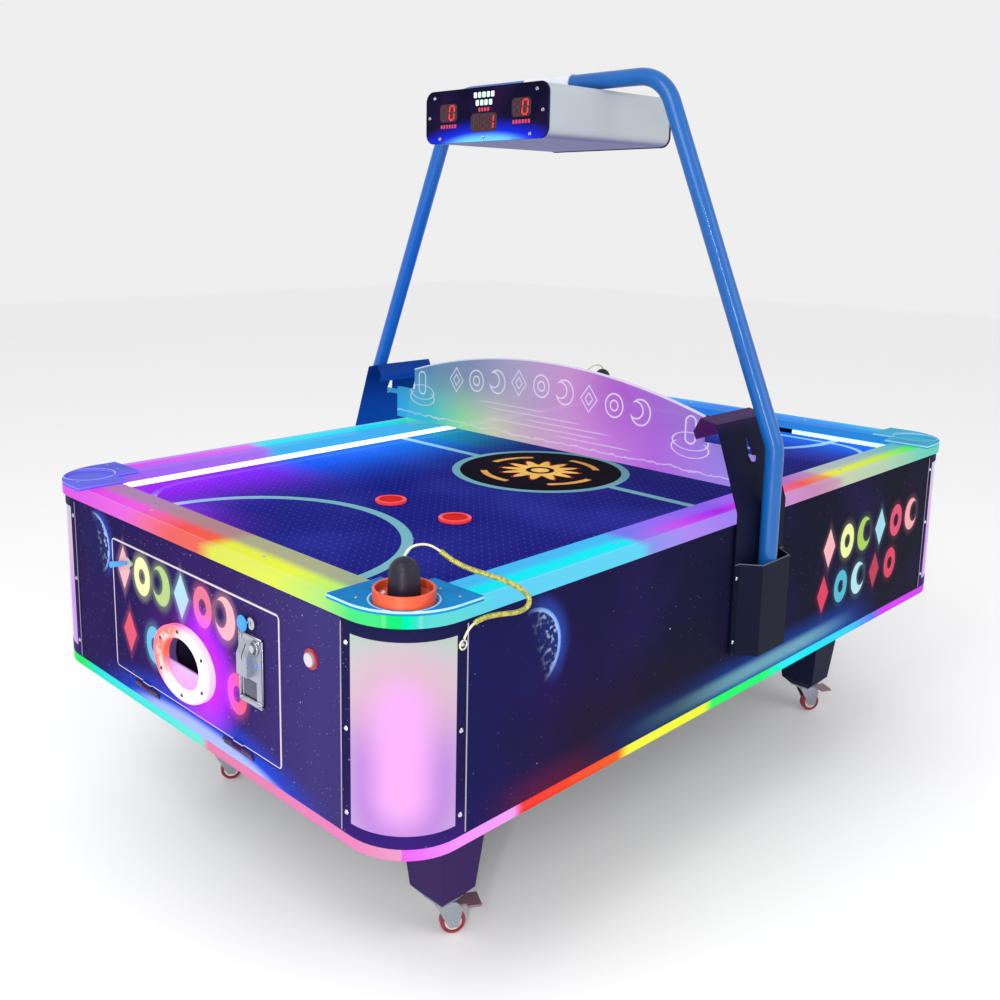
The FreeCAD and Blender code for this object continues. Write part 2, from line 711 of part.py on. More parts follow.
def corner_trays():
    left, low = FRONT_FACE, NEAR_FACE
    shape = prism(
        "tray_shape", "XY_Plane",
        [(f"{left} - rail_overhang", f"{low} - rail_overhang"),
         (f"{left} + tray_arm", f"{low} - rail_overhang"),
         (f"{left} + tray_arm", f"{low} + tray_width"),
         (f"{left} + tray_width", f"{low} + tray_width"),
         (f"{left} + tray_width", f"{low} + tray_arm"),
         (f"{left} - rail_overhang", f"{low} + tray_arm")],
        "rail_top", "tray_thick")
    limit = outline("tray_limit", "-rail_overhang", "rail_top", "rail_top + tray_thick", "1")
    recess = rod(
        "tray_recess", "recess_radius", "tray_thick",
        (f"{left} + recess_inset", f"{low} + recess_inset", "rail_top + tray_floor"))
    notch = rod(
        "tray_notch_hole", "tray_notch", "tray_thick",
        (f"{left} + tray_notch_inset", f"{low} + tray_notch_inset", "rail_top"))
    tray = cut("tray", common("tray_blank", shape, limit), recess, notch)
    node(four("trays", tray), "corner_trays")


# ---------------------------------------------------------------- legs and casters

CORNERS = [("front_near", -1, -1), ("front_far", -1, 1), ("back_near", 1, -1), ("back_far", 1, 1)]


def legs():
    upper = frustum(
        "leg_upper", "leg_low_side", "leg_top_side", "leg_low", "panel_bottom - board_thick")
    lower = frustum("leg_lower", "leg_foot_side", "leg_low_side", "leg_foot", "leg_low")
    socket = rod("leg_socket", "kingpin_radius + 2", "12", ("0", "0", "leg_foot"))
    leg = cut("leg", fuse("leg_whole", upper, lower), socket)
    place(leg, "-leg_x", "-leg_y")
    node(four("legs_four", leg), "legs")

    plate = box(
        "plate_blank", span("caster_plate_side / 2"), span("caster_plate_side / 2"),
        ("leg_foot - caster_plate_thick", "leg_foot"))
    bore = rod(
        "plate_bore", "kingpin_radius + running_gap", "caster_plate_thick",
        ("0", "0", "leg_foot - caster_plate_thick"))
    plate = cut("plate", plate, bore)
    place(plate, "-leg_x", "-leg_y")
    node(four("plates_four", plate), "caster_plates")


def at_leg(item, side_x, side_y):
    turn = FreeCAD.Rotation(FreeCAD.Vector(0, 0, 1), amount("caster_angle"))
    return place(item, f"{side_x} * leg_x", f"{side_y} * leg_y", turn=turn)


def caster(corner, side_x, side_y):
    """One caster about its own swivel axis, trailing along +X before it is turned."""
    tag = corner + "_"
    cheek_out, cheek_in = "fork_inside / 2 + fork_sheet", "fork_inside / 2"
    cap = rod(
        tag + "cap", "caster_cap_radius", "caster_cap_thick", ("0", "0", "fork_top"))
    kingpin = rod(
        tag + "kingpin", "kingpin_radius", "caster_plate_thick + 4",
        ("0", "0", "fork_top + caster_cap_thick"))
    cheek = prism(
        tag + "cheek", "XZ_Plane",
        [("-caster_cap_radius + 4", "fork_top"), ("caster_trail - 9", "wheel_radius - 8"),
         ("caster_trail + 9", "wheel_radius - 8"), ("pedal_pivot_x + 8", "pedal_pivot_z"),
         ("caster_cap_radius + 2", "fork_top")],
        cheek_out, "fork_sheet")
    axle = rod(
        tag + "axle", "axle_radius", f"2 * ({cheek_out}) + 3",
        ("caster_trail", f"-({cheek_out}) - 1.5", "wheel_radius"), "y")
    pivot = rod(
        tag + "pivot", "pedal_pin_radius", f"2 * ({cheek_out})",
        ("pedal_pivot_x", f"-({cheek_out})", "pedal_pivot_z"), "y")
    bridge = box(
        tag + "bridge", ("-caster_cap_radius + 4", "caster_cap_radius + 2"),
        span(cheek_out), ("fork_top - fork_sheet", "fork_top"))
    fork = fuse(
        tag + "fork", cap, kingpin, bridge, cheek, mirrored(tag + "cheek_far", cheek, "y"),
        axle, pivot)
    node(at_leg(fork, side_x, side_y), f"caster_fork_{corner}")

    half = "wheel_width / 2"
    rim, hub = "wheel_radius", "axle_radius + running_gap"
    wheel = spun(
        tag + "wheel",
        [(hub, f"-({half})"), ("axle_radius + 4", f"-({half})"), ("axle_radius + 6", f"-({half} - 3)"),
         (f"{rim} - 8", f"-({half} - 3)"), (f"{rim} - 6", f"-({half})"), (f"{rim} - 3", f"-({half})"),
         (rim, f"-({half} - 4)"), (rim, f"{half} - 4"), (f"{rim} - 3", half), (f"{rim} - 6", half),
         (f"{rim} - 8", f"{half} - 3"), ("axle_radius + 6", f"{half} - 3"), ("axle_radius + 4", half),
         (hub, half)],
        ("caster_trail", "0", "wheel_radius"), "y")
    node(at_leg(group(tag + "wheel_set", wheel), side_x, side_y), f"caster_wheel_{corner}")

    tread = box(
        tag + "tread", ("pedal_pivot_x - 8", "pedal_reach"), span("pedal_width / 2"),
        ("pedal_pivot_z + 3", "pedal_pivot_z + 3 + pedal_sheet"))
    pad = box(
        tag + "pad", ("pedal_reach - 28", "pedal_reach"), span("pedal_pad_width / 2"),
        ("pedal_pivot_z + 1", "pedal_pivot_z + 3 + pedal_sheet"))
    lug = rod(
        tag + "lug", "6", "pedal_width",
        ("pedal_pivot_x", "-pedal_width / 2", "pedal_pivot_z"), "y")
    bore = rod(
        tag + "lug_bore", "pedal_pin_radius + running_gap", "pedal_width + 2",
        ("pedal_pivot_x", "-pedal_width / 2 - 1", "pedal_pivot_z"), "y")
    pedal = cut(tag + "pedal", fuse(tag + "pedal_blank", tread, pad, lug), bore)
    node(at_leg(pedal, side_x, side_y), f"brake_pedal_{corner}")


# ---------------------------------------------------------------- gantry and divider

def gantry_tube():
    post, high = amount("post_y"), amount("gantry_height")
    knee, shoulder = amount("kink_height"), amount("gantry_corner_y")
    half = [(post, amount("post_foot")), (post, knee), (shoulder, high)]
    points = [FreeCAD.Vector(0, -y, z) for y, z in half]
    points += [FreeCAD.Vector(0, y, z) for y, z in reversed(half)]
    knee_bend, top_bend = amount("kink_bend"), amount("gantry_bend")
    path = bent_path(points, [knee_bend, top_bend, top_bend, knee_bend])
    outside = piped(path, amount("tube_radius"))
    inside = piped(path, amount("tube_radius") - amount("tube_wall"))
    node(shaped("gantry", outside.cut(inside)), "gantry_tube")


def side_brackets():
    far = bent_sheet(
        "far_sheet",
        [("bracket_face", "bracket_foot"), ("bracket_face", "rail_top"),
         ("hood_outer_y", "hood_outer_z"), ("hood_inner_y", "hood_inner_z"), ("lip_y", "lip_z"),
         ("lip_end_y", "lip_end_z")],
        "bracket_sheet", "bracket_half")
    slot = prism(
        "hood_slot", "XZ_Plane",
        [("0", "divider_tab_high + 48"), ("-8", "divider_tab_low + 12"),
         ("0", "divider_tab_low - 6"), ("12", "divider_tab_low + 10")],
        "bracket_face", "60")
    node(pair("brackets", cut("bracket", far, slot), "y"), "side_brackets")


def post_pockets():
    face, front, sheet = "bracket_face", "pocket_front", "bracket_sheet"
    blank = prism(
        "pocket_blank", "XY_Plane",
        [("-pocket_half", face), ("pocket_half", face), ("pocket_front_half", front),
         ("-pocket_front_half", front)],
        "bracket_foot", "pocket_top - bracket_foot")
    room_points = [
        (f"-pocket_half + {sheet} * 1.4", face), (f"pocket_half - {sheet} * 1.4", face),
        (f"pocket_front_half - {sheet} / 2", f"{front} - {sheet}"),
        (f"-pocket_front_half + {sheet} / 2", f"{front} - {sheet}")]
    upper = prism(
        "pocket_mouth", "XY_Plane", room_points, "collar_height", "pocket_top - collar_height + 1")
    lower = prism(
        "pocket_room", "XY_Plane", room_points, f"bracket_foot + {sheet}",
        f"collar_height - bracket_foot - 2 * {sheet}")
    hole = rod(
        "collar_hole", "tube_radius + 0.1", "20", ("0", "post_y", "collar_height - 10"))
    flange = box(
        "flange", ("pocket_half - 6", "pocket_flange"), (face, f"{face} + {sheet}"),
        ("bracket_foot", "pocket_top"))
    hollow = cut("pocket_hollow", blank, upper, lower, hole)
    pocket = fuse("pocket", hollow, pair("flanges", flange, "x"))
    node(pair("pockets", pocket, "y"), "post_pockets")


def divider():
    half = "divider_thick / 2"
    sheet = box(
        "divider_sheet", span(half), span("divider_half"), ("divider_bottom", "divider_peak"))
    arc = rod(
        "divider_round", "divider_arc", "divider_thick",
        (f"-({half})", "0", "divider_peak - divider_arc"), "x")
    notch = box(
        "divider_notch", span("divider_thick"), ("notch_y", "divider_half + 1"),
        ("notch_z", "divider_peak"))
    tab = box(
        "divider_tab", span(half), ("divider_half - 1", "divider_tab_end"),
        ("divider_tab_low", "divider_tab_high"))
    plate = cut("divider_plate", common("divider_arch", sheet, arc), pair("notches", notch, "y"))
    node(fuse("divider_whole", plate, pair("tabs", tab, "y")), "divider")


def score_box():
    bottom, top = "score_bottom", "score_top"
    plate_x = "score_half_length - score_plate"
    shell = rounded(
        "score_shell", "YZ_Plane", span("score_half_width"), (bottom, top), f"-({plate_x})",
        f"2 * ({plate_x})", "score_corner")
    room = rounded(
        "score_room", "YZ_Plane", span("score_half_width - score_wall"),
        (f"{bottom} + score_wall", f"{top} - score_wall"), f"-({plate_x})",
        f"2 * ({plate_x})", "score_corner - score_wall")
    node(cut("score_casing", shell, room), "score_case")
    plate = rounded(
        "score_front_plate", "YZ_Plane", span("score_half_width + 2"),
        (f"{bottom} - 2", f"{top} + 2"), plate_x, "score_plate", "score_corner + 2", "1.5")
    node(pair("score_plates", plate, "x"), "score_faces")

    flange = box(
        "saddle_flange", span("saddle_half"), span("saddle_half_width"),
        (top, f"{top} + saddle_sheet"))
    arch = rod(
        "saddle_arch", "tube_radius + saddle_sheet", "2 * saddle_half_width",
        ("0", "-saddle_half_width", "gantry_height"), "y")
    inside = rod(
        "saddle_inside", "tube_radius + 0.1", "2 * saddle_half_width + 2",
        ("0", "-saddle_half_width - 1", "gantry_height"), "y")
    under = box(
        "saddle_under", span("saddle_half"), span("saddle_half_width + 1"),
        (f"{top} - 20", top))
    saddle = cut("saddle", fuse("saddle_blank", flange, arch), inside, under)
    node(saddle, "tube_saddle")


# ---------------------------------------------------------------- coin door

PIN_X = "-body_length / 2 - hinge_pin_out"
DOOR_BACK = "-body_length / 2 + panel_thick"


def hinge_knuckle(name, low, high):
    """A barrel round the hinge pin between two places along Y."""
    return rod(name, "hinge_barrel", f"({high}) - ({low})", (PIN_X, low, "hinge_pin_z"), "y")


def door_hinges():
    low, high = "hinge_y - hinge_width / 2", "hinge_y + hinge_width / 2"
    third = "hinge_width / 3"
    outer_a = hinge_knuckle("knuckle_a", low, f"{low} + {third}")
    outer_b = hinge_knuckle("knuckle_b", f"{high} - {third}", high)
    leaf = box(
        "hinge_leaf", (PIN_X + " + 0.6", FRONT_FACE), (low, high), ("hinge_pin_z - 9", "hinge_pin_z - 2"))
    pin = rod("hinge_pin", "hinge_pin_radius", "hinge_width", (PIN_X, low, "hinge_pin_z"), "y")
    clear = rod(
        "leaf_clear", "hinge_barrel + 0.3", f"{third} + 1",
        (PIN_X, f"hinge_y - {third} / 2 - 0.5", "hinge_pin_z"), "y")
    fixed = fuse("hinge_fixed", cut("leaf", leaf, clear), outer_a, outer_b, pin)
    node(pair("hinges", fixed, "y"), "door_hinges")


def door_panel():
    board = rounded(
        "door_board", "YZ_Plane", span("door_half"), ("door_bottom", "door_top"), FRONT_FACE,
        "panel_thick", "door_corner")
    hole = oval(
        "door_ring_hole", "ring_inner_y", "ring_inner_z", "ring_y", "ring_z",
        FRONT_FACE + " - 1", "panel_thick + 2")
    lock_holes = [
        rod(f"lock_hole_{side}", "lock_radius + 0.3", "panel_thick + 2",
            (FRONT_FACE + " - 1", f"lock_{side}_y", "lock_z"), "x")
        for side in ("left", "right")
    ]
    coin_hole = box(
        "coin_hole", (FRONT_FACE + " - 1", DOOR_BACK + " + 1"),
        ("coin_y - coin_width / 2 + coin_rim", "coin_y + coin_width / 2 - coin_rim"),
        ("coin_bottom + coin_rim", "coin_top - coin_rim"))
    board = cut("door_cut", board, hole, coin_hole, *lock_holes)
    third = "hinge_width / 3"
    barrel = cut(
        "door_knuckle",
        hinge_knuckle(
            "door_barrel", f"hinge_y - {third} / 2 + 0.3", f"hinge_y + {third} / 2 - 0.3"),
        rod("door_barrel_bore", "hinge_pin_radius + running_gap", "hinge_width",
            (PIN_X, "hinge_y - hinge_width / 2", "hinge_pin_z"), "y"))
    strap = box(
        "door_strap", (PIN_X + " + 0.6", FRONT_FACE),
        (f"hinge_y - {third} / 2 + 0.3", f"hinge_y + {third} / 2 - 0.3"),
        ("hinge_pin_z + 2", "door_bottom + 6"))
    leaf = fuse("door_leaf", barrel, strap)
    node(group("door", board, pair("door_leaves", leaf, "y")), "door_panel")


def return_ring():
    start = "-body_length / 2 - ring_proud"
    outer = oval("ring_outside", "ring_outer_y", "ring_outer_z", "ring_y", "ring_z", start,
                 "ring_proud")
    inner = oval("ring_inside", "ring_inner_y", "ring_inner_z", "ring_y", "ring_z",
                 start + " - 1", "ring_proud + 2")
    lip = oval("lip_oval", "ring_inner_y", "ring_inner_z", "ring_y", "ring_z",
               FRONT_FACE + " - 5", "3")
    above = box(
        "above_lip", (start, FRONT_FACE), ("ring_y - ring_outer_y", "ring_y + ring_outer_y"),
        ("lip_guard_top", "ring_z + ring_outer_z"))
    ring = fuse("ring_whole", cut("ring", outer, inner), cut("ring_lip", lip, above))
    node(ring, "return_ring")

    across = "ring_inner_y + 13"
    tray = box(
        "return_outer", (DOOR_BACK, DOOR_BACK + " + return_depth"),
        (f"ring_y - ({across})", f"ring_y + ({across})"), ("return_floor", "return_top"))
    room = box(
        "return_room", (DOOR_BACK, DOOR_BACK + " + return_depth - return_wall"),
        (f"ring_y - ({across}) + return_wall", f"ring_y + ({across}) - return_wall"),
        ("return_floor + return_wall", "return_top"))
    node(cut("return_box", tray, room), "return_tray")


def coin_acceptor():
    front = "-body_length / 2 - coin_plate_thick"
    low_y, high_y = "coin_y - coin_width / 2", "coin_y + coin_width / 2"
    plate = box("coin_base", (front, FRONT_FACE), (low_y, high_y), ("coin_bottom", "coin_top"))
    housing = box(
        "coin_housing", (f"{FRONT_FACE} - coin_housing_proud", front),
        ("coin_y - 8", f"{high_y} - 10"), ("coin_flap_top + 10", "coin_top - 12"))
    slope = prism(
        "coin_slope", "XZ_Plane",
        [(f"{FRONT_FACE} - coin_housing_proud - 1", "coin_top - 11"),
         (f"{FRONT_FACE} - coin_housing_proud - 1", "coin_top - 40"), (front, "coin_top - 11")],
        f"{high_y} + 1", "coin_width")
    slot = box(
        "coin_slot", (f"{FRONT_FACE} - coin_housing_proud - 1", DOOR_BACK),
        ("coin_y + 6", "coin_y + 9"), ("coin_top - 46", "coin_top - 18"))
    button_hole = rod(
        "coin_button_hole", "coin_button_radius + 0.3", "coin_plate_thick + 2",
        (f"{front} - 1", "coin_button_y", "coin_button_z"), "x")
    window = box(
        "coin_return_window", (f"{front} - 1", FRONT_FACE),
        ("coin_y - coin_flap_width / 2 - 1", "coin_y + coin_flap_width / 2 + 1"),
        ("coin_flap_top - coin_flap_height - 1", "coin_flap_top + 2"))
    body = cut("coin_body", fuse("coin_blank", plate, cut("coin_nose", housing, slope)), slot,
               button_hole, window)
    node(body, "coin_plate")

    knob = rod(
        "coin_knob", "coin_button_radius", "coin_button_travel + coin_plate_thick + 6",
        (f"{front} - coin_button_travel - 2", "coin_button_y", "coin_button_z"), "x")
    node(knob, "coin_button")

    flap = box(
        "flap_plate", (f"{front} + 1", f"{front} + 2.5"), span("coin_flap_width / 2"),
        ("coin_flap_top - coin_flap_height", "coin_flap_top"))
    knuckle = rod(
        "flap_barrel", "1.5", "coin_flap_width",
        (f"{front} + 1.75", "-coin_flap_width / 2", "coin_flap_top"), "y")
    node(place(fuse("flap", flap, knuckle), y="coin_y"), "coin_flap")

    cash = box(
        "cash_outer", (DOOR_BACK, DOOR_BACK + " + 60"), ("coin_y - 45", "coin_y + 45"),
        ("door_bottom + 20", "coin_flap_top + 30"))
    cash_room = box(
        "cash_room", (DOOR_BACK, DOOR_BACK + " + 58"), ("coin_y - 43", "coin_y + 43"),
        ("door_bottom + 22", "coin_flap_top + 30"))
    node(cut("cash", cash, cash_room), "coin_box")


def door_locks():
    for side, sign in (("left", -1), ("right", 1)):
        y = f"lock_{side}_y"
        start = f"{FRONT_FACE} - lock_proud"
        barrel = rod(
            f"barrel_{side}", "lock_radius", "lock_proud + panel_thick + 3",
            (start, y, "lock_z"), "x")
        cap = rod(f"cap_{side}", "lock_cap_radius", "lock_proud - 0.3", (start, y, "lock_z"), "x")
        keyway = box(
            f"keyway_{side}", (f"{start} - 1", f"{start} + 4"), (f"{y} - 0.8", f"{y} + 0.8"),
            ("lock_z - 4", "lock_z + 4"))
        ends = sorted([f"{y}", f"{y} + {sign} * tongue_length"], key=amount)
        tongue = box(
            f"tongue_{side}", (DOOR_BACK + " + 3", DOOR_BACK + " + 6"), tuple(ends),
            ("lock_z - tongue_width / 2", "lock_z + tongue_width / 2"))
        lock = cut(f"lock_{side}", fuse(f"lock_blank_{side}", barrel, cap, tongue), keyway)
        node(lock, f"door_lock_{side}")


def start_button():
    flange = rod(
        "bezel_flange", "bezel_radius", "3", (FRONT_FACE + " - 3", "start_y", "start_z"), "x")
    barrel = rod(
        "bezel_barrel", "start_radius + 0.9", "panel_thick + 9", (FRONT_FACE, "start_y", "start_z"),
        "x")
    bore = rod(
        "bezel_bore", "start_radius + 0.3", "panel_thick + 14",
        (FRONT_FACE + " - 4", "start_y", "start_z"), "x")
    node(cut("bezel", fuse("bezel_blank", flange, barrel), bore), "start_button_bezel")
    profile = [
        ("0", "0"), ("start_radius - 4", "0"), ("start_radius - 1", "1"), ("start_radius", "4"),
        ("start_radius", "start_proud + panel_thick"), ("0", "start_proud + panel_thick")]
    cap = spun(
        "start_cap", profile, (FRONT_FACE + " - start_proud", "start_y", "start_z"), "x")
    node(cap, "start_button")


# ---------------------------------------------------------------- pucks, mallets, tethers

def pucks():
    for name in ("puck_a", "puck_b"):
        profile = [
            ("0", "0"), ("puck_radius - 1", "0"), ("puck_radius", "1"),
            ("puck_radius", "puck_thick - 1"), ("puck_radius - 1", "puck_thick"),
            ("puck_radius - 8", "puck_thick"), ("puck_radius - 10", "puck_thick - 1.5"),
            ("0", "puck_thick - 1.5")]
        disc = spun(name + "_disc", profile, (f"{name}_x", f"{name}_y", "field_top + air_gap"))
        node(disc, name)


def mallets():
    base = "rail_top + tray_floor + rest_gap"
    rim, wall, floor = "mallet_radius", "mallet_wall", "mallet_floor"
    rise = f"mallet_rim_top - ({base})"
    ring_profile = [
        ("0", "0"), (f"{rim} - 2", "0"), (rim, "2"), (rim, f"{rise} - 1.5"),
        (f"{rim} - 1.5", rise), (f"{rim} - {wall} + 1.5", rise), (f"{rim} - {wall}", f"{rise} - 1.5"),
        (f"{rim} - {wall}", f"{floor} + 3"), (f"{rim} - {wall} - 3", floor), ("0", floor)]
    tall = f"handle_top - ({base})"
    shoulder = f"handle_shoulder - ({base})"
    steps = 6
    dome = [
        (f"(handle_radius - 2) * {math.cos(math.radians(angle))}",
         f"{shoulder} + (handle_top - handle_shoulder) * {math.sin(math.radians(angle))}")
        for angle in (90 * i / steps for i in range(steps))]
    handle_profile = [("0", floor), ("handle_radius", floor), *dome, ("0", tall)]
    for side, sign in (("near", -1), ("far", 1)):
        at = (f"{sign} * (body_length / 2 - recess_inset)",
              f"{sign} * (body_width / 2 - recess_inset)", base)
        node(spun(f"ring_{side}", ring_profile, at), f"mallet_ring_{side}")
        node(spun(f"handle_{side}", handle_profile, at), f"mallet_handle_{side}")


def tether_solid(points, first, last):
    """The thin wire up to and after the spring sleeve, and the sleeve between them."""
    radii = []
    for before, corner, after in zip(points, points[1:], points[2:]):
        run_in, run_out = corner - before, after - corner
        half_turn = run_in.getAngle(run_out) / 2
        radii.append(ARC_SHARE * min(run_in.Length, run_out.Length) / math.tan(half_turn))
    print("tether radii", [round(radius) for radius in radii])
    edges = bent_path(points, radii).Edges
    cuts = (2 * first, 2 * last)
    spans = (
        (edges[:cuts[0]], amount("wire_radius")),
        (edges[cuts[0]:cuts[1]], amount("sleeve_radius")),
        (edges[cuts[1]:], amount("wire_radius")))
    solids = [piped(Part.Wire(run), radius) for run, radius in spans]
    for (run, radius), solid in zip(spans, solids):
        expected = math.pi * radius ** 2 * sum(edge.Length for edge in run)
        print("tether length", round(sum(edge.Length for edge in run), 1),
              "volume ratio", round(solid.Volume / expected, 4))
    return Part.makeCompound(solids)


def tethers():
    near = [FreeCAD.Vector(*point) for point in TETHER_ROUTE]
    far = [FreeCAD.Vector(-point.x, -point.y, point.z) for point in near]
    for side, points in (("near", near), ("far", far)):
        node(shaped(f"cord_{side}", tether_solid(points, SLEEVE_FIRST, SLEEVE_LAST)),
             f"tether_{side}")


# ---------------------------------------------------------------- build, check, write

def build():
    fill_sheet()
    base_board()
    lower_light_strip()
    end_panels()
    side_panels()
    corner_panels()
    corner_trims()
    panel_screws()
    playfield()
    air_plenum()
    blower()
    rail_cores()
    rail_covers()
    inner_light_bars()
    goal_chutes()
    corner_trays()
    legs()
    for corner in CORNERS:
        caster(*corner)
    gantry_tube()
    side_brackets()
    post_pockets()
    divider()
    score_box()
    door_hinges()
    door_panel()
    return_ring()
    coin_acceptor()
    door_locks()
    start_button()
    pucks()
    mallets()
    tethers()
    DOCUMENT.recompute()


def check():
    for item in DOCUMENT.Objects:
        if "Invalid" in item.State or "Error" in item.State:
            raise RuntimeError(f"{item.Name} is {item.State}")
    for item in NODES:
        if item.Shape.isNull() or not item.Shape.isValid() or not item.Shape.Solids:
            raise RuntimeError(f"{item.Label} has no valid solid")


def write():
    os.makedirs("parts", exist_ok=True)
    for item in NODES:
        item.Shape.exportStep(f"parts/{item.Label}.step")
        size = item.Shape.BoundBox
        print(f"{item.Label}: {len(item.Shape.Solids)} solids, "
              f"x {size.XMin:.1f}..{size.XMax:.1f}, y {size.YMin:.1f}..{size.YMax:.1f}, "
              f"z {size.ZMin:.1f}..{size.ZMax:.1f}")
    print(len(NODES), "nodes")


build()
check()
write()
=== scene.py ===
import math

import bpy
from mathutils import Matrix, Vector


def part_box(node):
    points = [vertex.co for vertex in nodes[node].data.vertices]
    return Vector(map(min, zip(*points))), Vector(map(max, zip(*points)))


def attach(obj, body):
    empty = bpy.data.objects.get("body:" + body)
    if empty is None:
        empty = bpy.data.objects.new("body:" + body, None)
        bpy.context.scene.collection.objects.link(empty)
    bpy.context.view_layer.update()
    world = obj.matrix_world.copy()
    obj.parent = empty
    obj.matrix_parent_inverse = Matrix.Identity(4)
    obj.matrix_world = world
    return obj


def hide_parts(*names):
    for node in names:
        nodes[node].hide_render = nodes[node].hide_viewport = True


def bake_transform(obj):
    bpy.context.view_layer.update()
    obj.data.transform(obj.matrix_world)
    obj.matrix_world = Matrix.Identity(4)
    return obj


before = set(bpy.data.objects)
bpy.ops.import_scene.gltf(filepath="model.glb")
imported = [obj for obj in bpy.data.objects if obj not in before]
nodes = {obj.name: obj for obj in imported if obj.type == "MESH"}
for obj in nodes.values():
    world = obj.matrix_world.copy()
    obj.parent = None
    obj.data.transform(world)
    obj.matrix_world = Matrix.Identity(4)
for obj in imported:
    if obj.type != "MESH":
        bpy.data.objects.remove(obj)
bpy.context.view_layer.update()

scene = bpy.context.scene


# ---- camera

CAMERA_PLACE = (-1.9978, -1.7263, 1.3716)
CAMERA_TURN = math.radians(-43.414)
CAMERA_HEIGHT = math.radians(10.531)
CAMERA_ROLL = math.radians(0.499)


def put(name, data):
    """A new object in the scene."""
    made = bpy.data.objects.new(name, data)
    scene.collection.objects.link(made)
    return made


def make_camera():
    """The view of the table that the rest is judged from."""
    turn, height, roll = CAMERA_TURN, CAMERA_HEIGHT, CAMERA_ROLL
    back = Vector((
        math.sin(turn) * math.cos(height), -math.cos(turn) * math.cos(height), math.sin(height)))
    level = (-back).cross(Vector((0, 0, 1))).normalized()
    upright = level.cross(-back)
    right = level * math.cos(roll) + upright * math.sin(roll)
    up = upright * math.cos(roll) - level * math.sin(roll)
    data = bpy.data.cameras.new("camera")
    data.sensor_width = 36
    data.lens = 38.565
    data.shift_x, data.shift_y = 0.0645, -0.0878
    camera = put("camera", data)
    turned = Matrix((right, up, back)).transposed().to_4x4()
    camera.matrix_world = Matrix.Translation(CAMERA_PLACE) @ turned
    scene.camera = camera


make_camera()


# ---- materials as arithmetic

def linear(colour):
    """A screen colour, 0 to 255 a channel, as the linear colour that shaders take."""
    if len(colour) == 4:
        return colour
    channels = (part / 255 for part in colour)
    return tuple(
        c / 12.92 if c <= 0.04045 else ((c + 0.055) / 1.055) ** 2.4 for c in channels) + (1.0,)


BLACK, WHITE = (0, 0, 0), (255, 255, 255)


def operation(kind, swapped=False):
    """A Number's method that adds a step of arithmetic to its material."""
    def step(self, *others):
        return self.paint.math(kind, *((*others, self) if swapped else (self, *others)))
    return step


class Number:
    """A number that a material's nodes work out at each point."""

    def __init__(self, paint, socket):
        self.paint, self.socket = paint, socket

    __add__ = __radd__ = operation("ADD")
    __sub__, __rsub__ = operation("SUBTRACT"), operation("SUBTRACT", swapped=True)
    __mul__ = __rmul__ = operation("MULTIPLY")
    __truediv__ = operation("DIVIDE")
    __abs__ = operation("ABSOLUTE")

    def fade(self, start, end):
        """0 where the number is start, 1 where it is end, and smooth between them."""
        node = self.paint.node(
            "ShaderNodeMapRange", Value=self, From_Min=start, From_Max=end)
        node.interpolation_type = "SMOOTHSTEP"
        return Number(self.paint, node.outputs["Result"])


